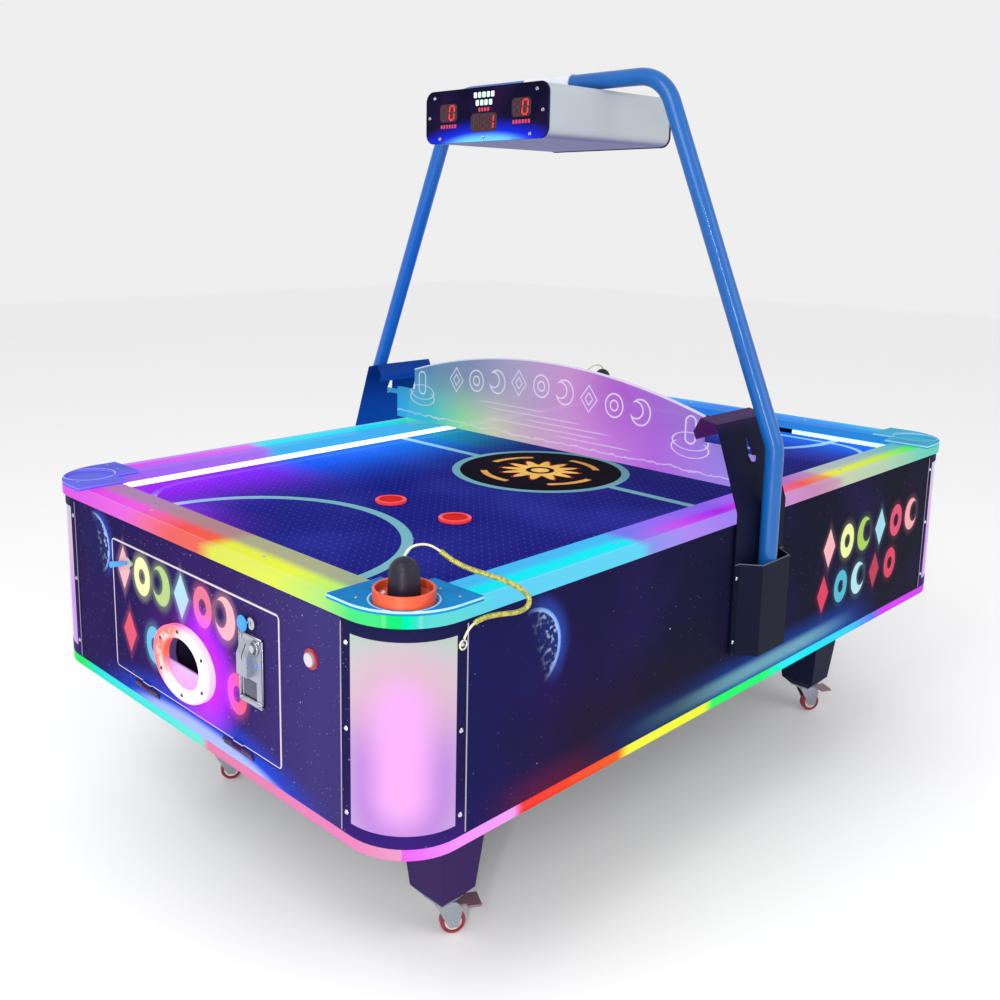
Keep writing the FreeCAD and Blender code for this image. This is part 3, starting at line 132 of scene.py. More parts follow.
class Paint:
    """A material worked out from where each point lies in the frame, in metres."""

    def __init__(self, name, **settings):
        self.material = bpy.data.materials.new(name)
        self.material.use_nodes = True
        self.tree = self.material.node_tree
        self.shader = self.tree.nodes["Principled BSDF"]
        self.place = self.node("ShaderNodeTexCoord").outputs["Object"]
        split = self.node("ShaderNodeSeparateXYZ")
        self.feed(split, 0, self.place)
        self.x, self.y, self.z = (Number(self, socket) for socket in split.outputs)
        for socket, value in settings.items():
            self.set(socket.replace("_", " "), value)

    def node(self, kind, **inputs):
        made = self.tree.nodes.new(kind)
        for socket, value in inputs.items():
            self.feed(made, socket.replace("_", " "), value)
        return made

    def feed(self, node, socket, value):
        """Gives a node's input a fixed value or another node's result."""
        if isinstance(value, Number):
            value = value.socket
        elif isinstance(value, tuple):
            value = linear(value)
        if isinstance(value, bpy.types.NodeSocket):
            self.tree.links.new(value, node.inputs[socket])
        else:
            node.inputs[socket].default_value = value

    def set(self, socket, value):
        self.feed(self.shader, socket, value)

    def base(self, colour):
        self.set("Base Color", colour)

    def math(self, kind, *values):
        node = self.node("ShaderNodeMath")
        node.operation = kind
        for index, value in enumerate(values):
            self.feed(node, index, value)
        return Number(self, node.outputs[0])

    def low(self, *values):
        return self._chain("MINIMUM", values)

    def high(self, *values):
        return self._chain("MAXIMUM", values)

    def _chain(self, kind, values):
        result = values[0]
        for value in values[1:]:
            result = self.math(kind, result, value)
        return result

    def reach(self, across, along):
        """How far a point is from where both numbers are 0."""
        return self.math("SQRT", across * across + along * along)

    def fade(self, value, start, end):
        return value.fade(start, end)

    def stroke(self, distance, width, soft=0.0012):
        """1 within half a width of where the distance is 0."""
        return self.fade(abs(distance), width / 2 + soft, width / 2)

    def ramp(self, value, first, last, stops):
        """Colours along a number that goes from first to last."""
        node = self.node("ShaderNodeValToRGB")
        self.feed(node, 0, (value - first) / (last - first))
        elements = node.color_ramp.elements
        elements.remove(elements[1])
        elements[0].position, elements[0].color = 0.0, linear(stops[0][1])
        for place, colour in stops:
            part = (place - first) / (last - first)
            elements.new(min(max(part, 0.0), 1.0)).color = linear(colour)
        return node.outputs["Color"]

    def mix(self, amount, under, over):
        node = self.node("ShaderNodeMix")
        node.data_type = "RGBA"
        self.feed(node, 0, amount)
        self.feed(node, 6, under)
        self.feed(node, 7, over)
        return node.outputs[2]

    def noise(self, scale, detail=2.0):
        node = self.node(
            "ShaderNodeTexNoise", Vector=self.place, Scale=scale, Detail=detail)
        return Number(self, node.outputs["Fac"])

    def drift(self, scale, first, second):
        """A colour that wanders between two others."""
        return self.mix(self.noise(scale), first, second)

    def over(self, colour, *coats):
        """The colour under others, each of which comes after how much of it shows."""
        for amount, coat in coats:
            colour = self.mix(amount, colour, coat)
        return colour

    def stars(self, per_metre, size, share):
        """Small bright points, a few to each metre, of which only a share shine."""
        node = self.node("ShaderNodeTexVoronoi", Vector=self.place, Scale=per_metre)
        chance = self.node("ShaderNodeSeparateColor", Color=node.outputs["Color"])
        near = self.fade(
            Number(self, node.outputs["Distance"]), size * per_metre, size * per_metre * 0.4)
        return near * self.fade(Number(self, chance.outputs[0]), 1 - share, 1)

    def bump(self, height, distance, strength=1.0):
        node = self.node("ShaderNodeBump", Strength=strength, Distance=distance, Height=height)
        self.set("Normal", node.outputs["Normal"])

    def glow(self, colour, strength=1.0):
        self.set("Emission Color", colour)
        self.set("Emission Strength", strength)

    def shine(self, colour, dark, strength):
        """A lit part: most of its colour is light of its own, so the surface is dark."""
        self.base(self.mix(dark, colour, BLACK))
        self.glow(colour, strength)

    def grain(self, scale, roughness, spread, depth):
        """A powder coat's fine grain, in its gloss and its height."""
        fine = self.noise(scale)
        self.set("Roughness", fine * spread + roughness)
        self.bump(fine, depth, 0.3)


def plain(name, scale, first, second, **settings):
    """A smooth finish that drifts between two colours."""
    paint = Paint(name, **settings)
    paint.base(paint.drift(scale, first, second))
    return paint


def worn(name, colour, second, scale=9.0, grain=260.0, depth=0.0002, roughness=0.4, spread=0.12,
         **settings):
    """A plain finish that drifts between two colours, with a fine grain in its height and gloss."""
    paint = Paint(name, **settings)
    drift = paint.noise(scale, 3.0)
    fine = paint.noise(grain, 2.0)
    paint.base(paint.mix(drift.fade(0.3, 0.7), colour, second))
    paint.set("Roughness", fine * spread + drift * spread + (roughness - spread))
    paint.bump(fine, depth, 0.4)
    return paint


def dress(paint, *names):
    """Gives CAD nodes a material."""
    for name in names:
        materials = nodes[name].data.materials
        materials.clear()
        materials.append(paint.material)


# ---- making meshes

def piece(name, points, faces, paint, body, slot, smooth=True):
    mesh = bpy.data.meshes.new(name)
    mesh.from_pydata([tuple(p) for p in points], [], faces)
    mesh.validate()
    for polygon in mesh.polygons:
        polygon.use_smooth = smooth
    mesh.materials.append(paint.material)
    made = put(name, mesh)
    if body:
        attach(made, body)
    return made


def frame_of(direction):
    """Two directions at right angles to the one given, and to each other."""
    ahead = Vector(direction).normalized()
    side = ahead.cross(Vector((0, 0, 1)))
    if side.length < 0.1:
        side = ahead.cross(Vector((0, 1, 0)))
    side.normalize()
    return ahead, side, ahead.cross(side)


def skin(rows, sides):
    """The faces of a closed tube whose points come in rows."""
    faces = []
    for row in range(rows - 1):
        for step in range(sides):
            after = (step + 1) % sides
            faces.append((
                row * sides + step, row * sides + after, (row + 1) * sides + after,
                (row + 1) * sides + step))
    faces.append(tuple(range(sides))[::-1])
    faces.append(tuple(range((rows - 1) * sides, rows * sides)))
    return faces


def lathe(profile, centre, direction, sides=24):
    """A closed turned shape's points and faces, from (radius, distance) pairs along an axis."""
    ahead, side, other = frame_of(direction)
    points = []
    for radius, distance in profile:
        for step in range(sides):
            angle = 2 * math.pi * step / sides
            points.append(
                Vector(centre) + ahead * distance + side * (radius * math.cos(angle))
                + other * (radius * math.sin(angle)))
    return points, skin(len(profile), sides)


def join(parts):
    """Several shapes' points and faces as one."""
    points, faces = [], []
    for more, their_faces in parts:
        start = len(points)
        points += more
        faces += [tuple(start + index for index in face) for face in their_faces]
    return points, faces


def screw(centre, direction, radius=0.004, height=0.0022):
    """A pan-head screw with a round sunken drive, seated on a surface."""
    return lathe([
        (radius, -0.0002), (radius, height * 0.35), (radius * 0.9, height * 0.75),
        (radius * 0.66, height), (radius * 0.42, height), (radius * 0.4, height * 0.45),
        (radius * 0.1, height * 0.4)], centre, direction, 18)


def slab(low, high):
    """The points and faces of a box between two corners."""
    xs, ys, zs = zip(low, high)
    points = [Vector((x, y, z)) for x in xs for y in ys for z in zs]
    return points, [(0, 1, 3, 2), (4, 6, 7, 5), (0, 4, 5, 1), (2, 3, 7, 6), (0, 2, 6, 4),
                    (1, 5, 7, 3)]


def prism(outline, low_x, high_x):
    """A flat plate with this (y, z) outline, between two places along X."""
    count = len(outline)
    points = [Vector((x, y, z)) for x in (low_x, high_x) for y, z in outline]
    faces = [tuple(range(count)), tuple(range(2 * count - 1, count - 1, -1))]
    for step in range(count):
        after = (step + 1) % count
        faces.append((step, step + count, after + count, after))
    return points, faces


# ---- tethers

# the near mallet's tether in metres: up out of the handle, along the spring sleeve, and down to
# the ring under the corner screw. The far one is the same, turned half way round the table.
TETHER_ROUTE = [
    (-0.939, -0.540, 0.8493), (-0.933, -0.540, 0.8585), (-0.917, -0.543, 0.864),
    (-0.896, -0.549, 0.8615), (-0.879, -0.557, 0.849), (-0.862, -0.570, 0.831),
    (-0.840, -0.586, 0.817), (-0.816, -0.601, 0.8065), (-0.792, -0.616, 0.795),
    (-0.770, -0.630, 0.781), (-0.757, -0.640, 0.765), (-0.763, -0.642, 0.750),
    (-0.781, -0.638, 0.745), (-0.803, -0.633, 0.747), (-0.826, -0.629, 0.7495),
    (-0.848, -0.626, 0.750), (-0.866, -0.622, 0.745), (-0.877, -0.617, 0.732),
    (-0.879, -0.613, 0.719),
]
SLEEVE_START = Vector((-0.879, -0.557, 0.849))
SLEEVE_END = Vector((-0.866, -0.622, 0.745))
EYE_CENTRE = Vector((-0.879, -0.6115, 0.709))
WIRE_RADIUS = 0.002
EYE_RADIUS, EYE_WIRE_RADIUS = 0.0075, 0.0016
SLEEVE_RADIUS = 0.0045
SLEEVE_PITCH = 0.0036


def smooth_route(name, route):
    """The points of a smooth line that has the route's points as its control points."""
    data = bpy.data.curves.new(name, "CURVE")
    data.dimensions = "3D"
    data.resolution_u = 10
    spline = data.splines.new("NURBS")
    spline.points.add(len(route) - 1)
    for point, place in zip(spline.points, route):
        point.co = (*place, 1)
    spline.order_u = 3
    spline.use_endpoint_u = True
    line = put(name, data)
    mesh = bpy.data.meshes.new_from_object(line)
    points = [vertex.co.copy() for vertex in mesh.vertices]
    bpy.data.objects.remove(line)
    bpy.data.meshes.remove(mesh)
    return points


def even_points(points, step):
    """Points a fixed distance apart along a line."""
    result, carried = [points[0].copy()], 0.0
    for start, end in zip(points, points[1:]):
        length = (end - start).length
        while carried + length >= step:
            part = (step - carried) / length
            start = start.lerp(end, part)
            result.append(start.copy())
            length, carried = (end - start).length, 0.0
        carried += length
    return result


def tube(points, radius_at, sides=12):
    """A round tube along a line, whose radius may change from point to point."""
    made, side = [], None
    for index, point in enumerate(points):
        ahead = (points[min(index + 1, len(points) - 1)] - points[max(index - 1, 0)]).normalized()
        side = frame_of(ahead)[1] if side is None else (side - ahead * side.dot(ahead)).normalized()
        other = ahead.cross(side)
        for step in range(sides):
            angle = 2 * math.pi * step / sides
            made.append(
                point + (side * math.cos(angle) + other * math.sin(angle)) * radius_at(index))
    return made, skin(len(points), sides)


def make_tethers():
    wire_paint = worn(
        "tether_wire", (214, 208, 176), (196, 190, 150), roughness=0.4, spread=0.1)
    sleeve_paint = Paint("tether_sleeve", Roughness=0.35, Metallic=0.25)
    strand = sleeve_paint.noise(150.0, 1.0).fade(0.36, 0.64)
    sleeve_paint.base(sleeve_paint.mix(strand, (184, 172, 66), (132, 134, 66)))
    for side, sign in (("near", 1), ("far", -1)):
        def turned(place):
            return Vector((place[0] * sign, place[1] * sign, place[2]))

        line = smooth_route(f"tether_line_{side}", [turned(place) for place in TETHER_ROUTE])
        eye = [
            turned(EYE_CENTRE + Vector((math.sin(a), -0.0002, math.cos(a))) * EYE_RADIUS)
            for a in (math.radians(step * 20) for step in range(19))]
        path = even_points(line, 0.002)
        wire = piece(
            f"tether_wire_{side}", *tube(path, lambda index: WIRE_RADIUS), wire_paint, None,
            "tether_wire")
        start = min(range(len(path)), key=lambda i: (path[i] - turned(SLEEVE_START)).length)
        end = min(range(len(path)), key=lambda i: (path[i] - turned(SLEEVE_END)).length)
        spring = even_points(path[start:end + 1], SLEEVE_PITCH / 4)
        ridges = (1.0, 0.93, 0.84, 0.93)
        sleeve = piece(
            f"tether_sleeve_{side}",
            *tube(spring, lambda index: SLEEVE_RADIUS * ridges[index % 4], 14), sleeve_paint, None,
            "tether_wire")
        ring = piece(
            f"tether_eye_{side}", *tube(eye, lambda index: EYE_WIRE_RADIUS, 10), wire_paint,
            "table", "tether_wire")
        for soft in (wire, sleeve):
            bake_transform(soft)
        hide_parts(f"tether_{side}")
        [tuple(p) for p in path]


make_tethers()


# ---- colours round the table

LENGTH, WIDTH = 2.018, 1.22
HALF_LENGTH, HALF_WIDTH = LENGTH / 2, WIDTH / 2
MALLET_X, MALLET_Y = 0.939, 0.540  # the near mallet and its tray are at minus these
TRAY_TOP_Z = 0.780
GREEN, MINT, CYAN = (12, 238, 102), (0, 255, 190), (0, 240, 252)
SKY, BLUE = (30, 165, 255), (40, 60, 240)
MAGENTA, PINK = (214, 50, 250), (240, 134, 194)
RED, ORANGE, YELLOW = (250, 46, 38), (248, 92, 20), (250, 250, 60)

# along the width (front and back) and the length (near and far), each a place and its colour
STRIP_FRONT = [
    (0.61, GREEN), (0.47, GREEN), (0.38, (14, 232, 230)), (0.05, (92, 238, 226)),
    (-0.03, (110, 240, 220)), (-0.06, (232, 128, 176)), (-0.5, PINK),
    (-0.61, (240, 170, 206))]
STRIP_NEAR = [
    (-1.009, (232, 70, 245)), (-0.88, (250, 150, 255)), (-0.75, (246, 160, 252)),
    (-0.73, RED), (-0.60, (252, 66, 30)), (-0.46, ORANGE), (-0.43, YELLOW),
    (-0.17, (244, 252, 40)), (-0.14, (20, 250, 90)), (0.08, (5, 255, 120)),
    (0.16, CYAN), (0.45, (30, 215, 252)), (0.60, (90, 120, 250)), (0.66, MAGENTA),
    (1.009, (206, 60, 230))]
STRIP_BACK = [(-0.61, MAGENTA), (-0.2, BLUE), (0.0, CYAN), (0.3, GREEN), (0.61, YELLOW)]
STRIP_FAR = [(-1.009, GREEN), (-0.5, CYAN), (-0.1, BLUE), (0.2, MAGENTA), (0.7, RED),
             (1.009, YELLOW)]
RAIL_FRONT = [
    (0.61, (220, 50, 245)), (0.24, (246, 90, 236)), (0.14, (252, 100, 160)),
    (0.05, (252, 84, 84)), (-0.05, (250, 96, 70)), (-0.10, (236, 244, 70)),
    (-0.30, (240, 255, 76)), (-0.42, (190, 250, 120)), (-0.50, (40, 245, 130)),
    (-0.61, (20, 250, 130))]
RAIL_NEAR = [
    (-1.009, MINT), (-0.90, MINT), (-0.80, CYAN), (-0.42, (0, 246, 255)),
    (-0.39, (140, 130, 240)), (-0.26, (206, 84, 250)), (-0.10, (176, 30, 240)),
    (0.05, (224, 60, 250)), (0.12, (252, 110, 170)), (0.24, (248, 84, 84)),
    (0.34, (244, 150, 90)), (0.38, (240, 240, 60)), (0.60, (214, 240, 70)),
    (0.80, (100, 240, 100)), (0.92, (20, 236, 110)), (1.009, (10, 226, 120))]
RAIL_BACK = [(-0.61, (40, 210, 230)), (-0.3, SKY), (0.1, (30, 130, 255)),
             (0.4, (60, 190, 255)), (0.61, CYAN)]
RAIL_FAR = [
    (-1.009, (214, 50, 248)), (-0.48, (236, 110, 250)), (-0.44, (14, 240, 255)),
    (-0.02, (8, 236, 255)), (0.06, (20, 240, 180)), (0.24, (30, 240, 120)),
    (0.32, (196, 60, 236)), (0.70, (214, 60, 250)), (1.009, (90, 110, 255))]


def past_edges(paint):
    """How far a point is past the table's ends, and past its sides."""
    return abs(paint.x) - HALF_LENGTH, abs(paint.y) - HALF_WIDTH


def around(paint, front, near, back, far):
    """A colour for each place round the table. Two sides' colours meet in each corner's middle."""
    def pair(beyond, along, size, low, high):
        return paint.mix(
            paint.math("GREATER_THAN", beyond, 0.0),
            *(paint.ramp(along, -size / 2, size / 2, stops) for stops in (low, high)))

    ends = pair(paint.x, paint.y, WIDTH, front, back)
    sides = pair(paint.y, paint.x, LENGTH, near, far)
    past_end, past_side = past_edges(paint)
    return paint.mix(paint.math("GREATER_THAN", past_side, past_end), ends, sides)


def light_strip():
    paint = Paint("lower_strip", Roughness=0.35, Specular_IOR_Level=0.01)
    hue = around(paint, STRIP_FRONT, STRIP_NEAR, STRIP_BACK, STRIP_FAR)
    core = paint.stroke(paint.z - 0.371, 0.004, 0.008) * (paint.noise(14.0) * 0.05)
    paint.shine(paint.mix(core, hue, WHITE), 0.94, 0.92)
    dress(paint, "lower_light_strip")


def rails():
    paint = Paint("rail_acrylic", Roughness=0.30, Specular_IOR_Level=0.004)
    hue = around(paint, RAIL_FRONT, RAIL_NEAR, RAIL_BACK, RAIL_FAR)
    inward = paint.low(HALF_LENGTH + 0.005 - abs(paint.x), HALF_WIDTH + 0.005 - abs(paint.y))
    # from the outer edge: a pale band, a thin line, the bright tube underneath, then dull acrylic
    pale = inward.fade(0.026, 0.010) * 0.07
    line = paint.stroke(inward - 0.019, 0.0020, 0.002) * 0.15
    dull = paint.fade(inward + paint.noise(6.0) * 0.014, 0.048, 0.080)
    # the end rails are dull grey there, and the side rails bluer
    at_end = paint.math("GREATER_THAN", *past_edges(paint))
    end = paint.mix(paint.x.fade(0.0, 0.1), (150, 146, 156), (50, 130, 225))
    inner = paint.mix(at_end, (96, 128, 250), end)
    dull = dull * (at_end * (paint.y.fade(0.50, 0.36) * 0.55 - 0.33) + 0.55)
    rim = inward.fade(0.034, 0.012) * (1 - at_end) * 0.42
    paint.shine(paint.over(
        hue, (dull, inner), (rim, (112, 170, 255)), (paint.high(pale, line), WHITE)), 0.93, 0.84)
    dress(paint, "rail_covers_end", "rail_covers_side")

    bars = Paint("light_bar", Roughness=0.3)
    hue = around(bars, RAIL_FRONT, RAIL_NEAR, RAIL_BACK, RAIL_FAR)
    diode_pitch = 0.0167
    diodes = bars.fade(
        bars.math("SINE", (bars.x + bars.y) * (2 * math.pi / diode_pitch)), -0.4, 0.9)
    back = bars.x.fade(0.88, 0.90)
    bars.base(WHITE)
    whiteness = 0.80 - back * 0.78 + back * diodes * 0.38
    bars.glow(bars.over(hue, (back, (20, 160, 255)), (whiteness, WHITE)), 1.25)
    dress(bars, "inner_light_bars")


# ---- printed panels

SHAPE_COLOURS = [
    (236, 168, 172), (226, 234, 150), (156, 196, 70), (150, 208, 218),
    (214, 62, 100), (236, 158, 162)]
MILK = (150, 142, 160)
LOWER_COLOURS = [
    (206, 50, 82), (70, 170, 196), (166, 214, 220), (176, 46, 70),
    (206, 60, 86)]


def shape_rows(paint, colour, u, rows, halo, milk=0.0):
    """Rows of soft-edged gems, rings and crescents in cheerful colours."""
    for row, (start, step, height, size, colours) in enumerate(rows):
        share = milk / (1 + row)
        for index, tint in enumerate(colours):
            tint = tuple(
                part + (pale - part) * share for part, pale in zip(linear(tint), linear(MILK)))
            across = u - (start + step * index)
            up = paint.z - height
            if index % 3 == 1:
                distance = abs(paint.reach(across * 1.25, up) - size * 0.64) - size * 0.25
            elif index % 3 == 2:
                bite = size * 0.62 - paint.reach(across * 1.2 - size * 0.42, up - size * 0.1)
                distance = paint.high(paint.reach(across * 1.2, up) - size * 0.9, bite)
            else:
                distance = (abs(across) * 1.05 + abs(up) * 0.62) - size * 0.62
            ring = distance.fade(0.022, 0.0) * halo
            colour = paint.mix(ring, colour, tint)
            colour = paint.mix(distance.fade(0.0022, 0.0), colour, tint)
    return colour


def planet(paint, colour, u, lit, height, radius):
    """A dark planet whose far rim catches the light, with a few craters near it."""
    up = paint.z - height
    distance = paint.reach(u, up)
    inside = distance.fade(radius, radius * 0.97)
    day = paint.fade(u * lit + up * 0.35, radius * 0.1, radius * 1.05)
    craters = paint.noise(90.0, 4.0).fade(0.50, 0.64)
    ground = paint.mix(craters, (30, 44, 104), (168, 184, 220))
    rim = paint.stroke(distance - radius, radius * 0.04, radius * 0.05)
    halo = distance.fade(radius * 1.5, radius * 0.95) * (1 - inside) * day
    return paint.over(
        colour, (inside * 0.6, (24, 26, 74)), (inside * day * 0.85, ground),
        (rim * day * 0.9, (150, 190, 240)), (halo * 0.5, (52, 84, 190)))


def space(paint, colour):
    """Stars of two sizes and faint clouds over a dark print."""
    cloud = paint.noise(3.2, 3.0).fade(0.42, 0.74)
    dust = paint.stars(120.0, 0.0009, 0.3)
    stars = paint.stars(26.0, 0.0022, 0.35)
    return paint.over(
        colour, (cloud * 0.25, (52, 28, 104)), (paint.high(dust * 0.55, stars), (216, 218, 246)))


def front_print(paint):
    """The coin-door end's print: purple to the near side, a moon, and a bright horizon below."""
    base = paint.ramp(paint.y, -0.61, 0.61, [
        (-0.61, (46, 39, 88)), (-0.40, (52, 44, 98)), (-0.1, (38, 24, 76)),
        (0.3, (29, 16, 72)), (0.61, (23, 15, 54))])
    above = paint.reach(paint.y + 0.02, paint.z + 0.97) - 1.373
    night = above.fade(0.075, 0.0) * abs(paint.y + 0.03).fade(0.48, 0.16)
    core = above.fade(0.014, -0.006) * abs(paint.y + 0.05).fade(0.34, 0.16)
    colour = paint.over(
        space(paint, base), (night, (24, 62, 190)), (core * 0.8, (158, 172, 218)))
    colour = planet(paint, colour, paint.y - 0.379, -1, 0.671, 0.065)
    rows = [(0.252, -0.0765, 0.646, 0.044, SHAPE_COLOURS),
            (0.235, -0.100, 0.512, 0.043, LOWER_COLOURS)]
    return shape_rows(paint, colour, paint.y, rows, 0.22, 0.36)


def side_print(paint):
    """The long sides' print: blue to near black along the table, over a lit band."""
    base = paint.ramp(paint.x, -1.009, 1.009, [
        (-1.009, (23, 25, 78)), (-0.6, (26, 20, 60)), (-0.3, (20, 21, 48)),
        (0.1, (17, 18, 40)), (1.009, (16, 18, 29))])

    def patch(level, middle, outer, inner):
        """A stretch of the level that fades out to both sides of its middle."""
        return level * abs(paint.x - middle).fade(outer, inner)

    rise = paint.z - 0.388
    # painted light from the lower strip: a blue band with a pale core just above it
    night = patch(rise.fade(0.085, 0.0), 0.02, 0.62, 0.34)
    core = patch(abs(rise - 0.014).fade(0.026, 0.004), 0.02, 0.5, 0.2)
    # painted shade: the panel darkens towards the bottom around 0.42 m from the middle towards the
    # coin-door end
    painted_shade = patch(paint.z.fade(0.62, 0.46), -0.42, 0.46, 0.12)
    # painted light: a red glow just above the stretch where the lower strip shines red
    red = patch(rise.fade(0.06, -0.01), -0.66, 0.2, 0.02)
    colour = paint.over(
        space(paint, base), (night, (20, 62, 150)), (core * 0.9, (104, 156, 170)),
        (painted_shade * 0.7, (26, 22, 32)), (red * 0.2, (150, 24, 60)))
    # the far side has the same print, turned half way round
    along = paint.x * (paint.math("SIGN", paint.y) * -1.0)
    colour = planet(paint, colour, along + 0.715, 1, 0.650, 0.072)
    rows = [(0.335, 0.089, 0.606, 0.046, SHAPE_COLOURS),
            (0.318, 0.089, 0.496, 0.044, LOWER_COLOURS)]
    return shape_rows(paint, colour, along, rows, 0.08, 0.14)


def printed(name, colour_of, extra=None):
    paint = Paint(name, Specular_IOR_Level=0.008)
    colour = colour_of(paint)
    if extra:
        colour = extra(paint, colour)
    paint.base(colour)
    paint.set("Roughness", paint.noise(40.0) * 0.12 + 0.30)
    paint.bump(paint.noise(420.0), 0.0001, 0.25)
    return paint


RING_Y, RING_Z = 0.012, 0.515


def door_extras(paint, colour):
    """The door's pale edge line and the light that the return ring throws on it."""
    half_y, low, high, corner = 0.2985, 0.4185, 0.6985, 0.006
    out_y = paint.high(abs(paint.y) - (half_y - corner), 0.0)
    out_z = paint.high(abs(paint.z - (low + high) / 2) - ((high - low) / 2 - corner), 0.0)
    edge = paint.reach(out_y, out_z) - corner
    colour = paint.mix(edge.fade(-0.0014, -0.0008), colour, (190, 182, 190))
    # the hinge straps below the door's edge are dark
    colour = paint.mix(paint.z.fade(low - 0.0004, low - 0.0012), colour, (58, 32, 80))
    away = paint.reach((paint.y - RING_Y) * 0.72, paint.z - RING_Z) - 0.070
    halo = away.fade(0.085, 0.0)
    near_side = paint.fade(paint.y - RING_Y, 0.06, -0.08)
    light = paint.mix(near_side, (150, 30, 190), (190, 30, 255))
    paint.glow(light, halo * (near_side * 0.55 + 0.12))
    return paint.mix(halo * near_side * 0.5, colour, (170, 40, 240))


def panels():
    dress(printed("front_print", front_print), "end_panel_front")
    dress(printed("door_print", front_print, door_extras), "door_panel")
    dress(printed("side_print", side_print), "side_panels")
    # painted light: the back end and the corner panels are lighter towards the bottom, lit by the
    # lower strip
    for name, panel, stops in (
            ("back_print", "end_panel_back",
             [(0.38, (24, 62, 160)), (0.45, (26, 26, 84)), (0.75, (26, 22, 62))]),
            ("corner_print", "corner_panels",
             [(0.38, (44, 26, 96)), (0.46, (28, 22, 66)), (0.75, (24, 24, 60))])):
        paint = Paint(name, Specular_IOR_Level=0.008, Roughness=0.36)
        paint.base(space(paint, paint.ramp(paint.z, 0.38, 0.75, stops)))
        paint.bump(paint.noise(420.0), 0.0001, 0.25)
        dress(paint, panel)


def corner_windows():
    """Milky acrylic, brightest where the lamp behind it is: pink in the middle, violet beside."""
    paint = Paint("window_milk", Roughness=0.30, Specular_IOR_Level=0.1)
    turn = paint.math("ARCTAN2", abs(paint.y) - 0.490, abs(paint.x) - 0.889) * (4 / math.pi) - 1
    rise = (paint.z - 0.402) / 0.325
    near_front = paint.fade(paint.x * paint.y, 0.0, 0.4)
    # the lamp is a soft upright oval, so both glows fade with the distance from its middle line
    beyond = paint.high(abs(rise - 0.42) - 0.20, 0.0)
    spot = paint.reach(turn * 0.34, beyond)
    sides = paint.mix(rise.fade(0.75, 0.3), (236, 184, 214), (198, 124, 234))
    shell = paint.ramp(rise, 0.0, 1.0, [
        (0.0, (214, 196, 226)), (0.5, (214, 204, 226)), (0.85, (206, 220, 214)),
        (1.0, (178, 222, 200))])
    paint.shine(paint.over(
        shell, (spot.fade(0.60, 0.20) * 0.8, sides),
        (spot.fade(0.28, 0.05), (252, 182, 255)),
        ((1 - near_front) * 0.25, (190, 120, 250))), 0.86, 0.74)
    paint.bump(paint.noise(160.0), 0.0002, 0.2)
    dress(paint, "corner_windows")


# ---- the field

def playfield():
    paint = Paint("playfield", Specular_IOR_Level=0.001)
    x, y = abs(paint.x), paint.y
    base = paint.ramp(y, -0.52, 0.52, [
        (-0.52, (30, 28, 112)), (0.1, (25, 28, 118)), (0.52, (17, 34, 140))])
    cloud = paint.noise(2.6, 3.0).fade(0.45, 0.75)
    hole_pitch = 0.020
    hole = paint.reach(*(
        paint.math("PINGPONG", along, hole_pitch / 2) for along in (paint.x, y)))
    holes = hole.fade(0.0019, 0.0008)

    from_middle = paint.reach(paint.x, y)
    circle = paint.stroke(from_middle - 0.2115, 0.0195)
    centre_line = paint.stroke(paint.x, 0.022) * from_middle.fade(0.205, 0.21)
    goal = paint.stroke(paint.reach(x - 0.885, y) - 0.325, 0.022)
    corner = 0.15
    edge = paint.reach(
        paint.high(x - (0.872 - corner), 0.0), paint.high(abs(y) - (0.482 - corner), 0.0)) - corner
    border = paint.stroke(edge, 0.014) * (1 - y.fade(0.36, 0.46) * 0.92)
    lines = paint.high(circle, centre_line, goal, border)

    # the black disc in the middle, with a plain gold sunburst edged in red
    disc = from_middle.fade(0.2025, 0.2015)
    turn = paint.math("ARCTAN2", y, paint.x)
    rays = paint.math("COSINE", turn * 12.0)
    star = from_middle - (rays * 0.020 + 0.078)
    gold = paint.drift(90.0, (214, 150, 60), (250, 216, 120))
    filling = star.fade(0.001, -0.001) * from_middle.fade(0.034, 0.038)
    arcs = paint.stroke(from_middle - 0.142, 0.016) \
        * paint.fade(paint.math("COSINE", turn * 4.0 + 1.2), -0.25, 0.0)
    paint.base(paint.over(
        base, (cloud * 0.4, (52, 62, 168)), (paint.stars(24.0, 0.0024, 0.4) * 0.7, (150, 170, 226)),
        (holes * 0.55, (104, 122, 206)), (lines * 0.92, (112, 168, 176)), (disc, (14, 9, 22)),
        (paint.stroke(star - 0.006, 0.005) * disc, (170, 26, 40)), (filling, gold),
        (from_middle.fade(0.024, 0.022), gold),
        (arcs * disc, paint.mix(0.3, gold, (190, 60, 40)))))
    paint.set("Roughness", paint.noise(30.0) * 0.12 + 0.30)
    paint.bump(holes * -1.0, 0.0008, 0.6)

    # the light that the bars throw along the far side, the back end and the far front corner
    far = paint.ramp(paint.x, -HALF_LENGTH, HALF_LENGTH, [
        (-1.0, (186, 0, 235)), (-0.52, (140, 10, 244)), (-0.40, (5, 100, 255)),
        (0.0, (0, 130, 240)), (0.10, (0, 160, 170)), (0.25, (0, 130, 110)),
        (0.35, (90, 30, 220)), (1.0, (20, 120, 255))])
    spread = y.fade(0.06, 0.53)
    at_back = paint.x.fade(0.50, 0.93)
    at_front = paint.x.fade(-0.72, -0.93) * y.fade(-0.05, 0.40)
    strength = paint.high(spread * spread, at_back * at_back, at_front)
    light = paint.over(far, (at_back, (10, 120, 255)), (lines * 0.25, WHITE))
    paint.glow(light, strength * (1 - disc * 0.9) * 0.85)
    dress(paint, "playfield")


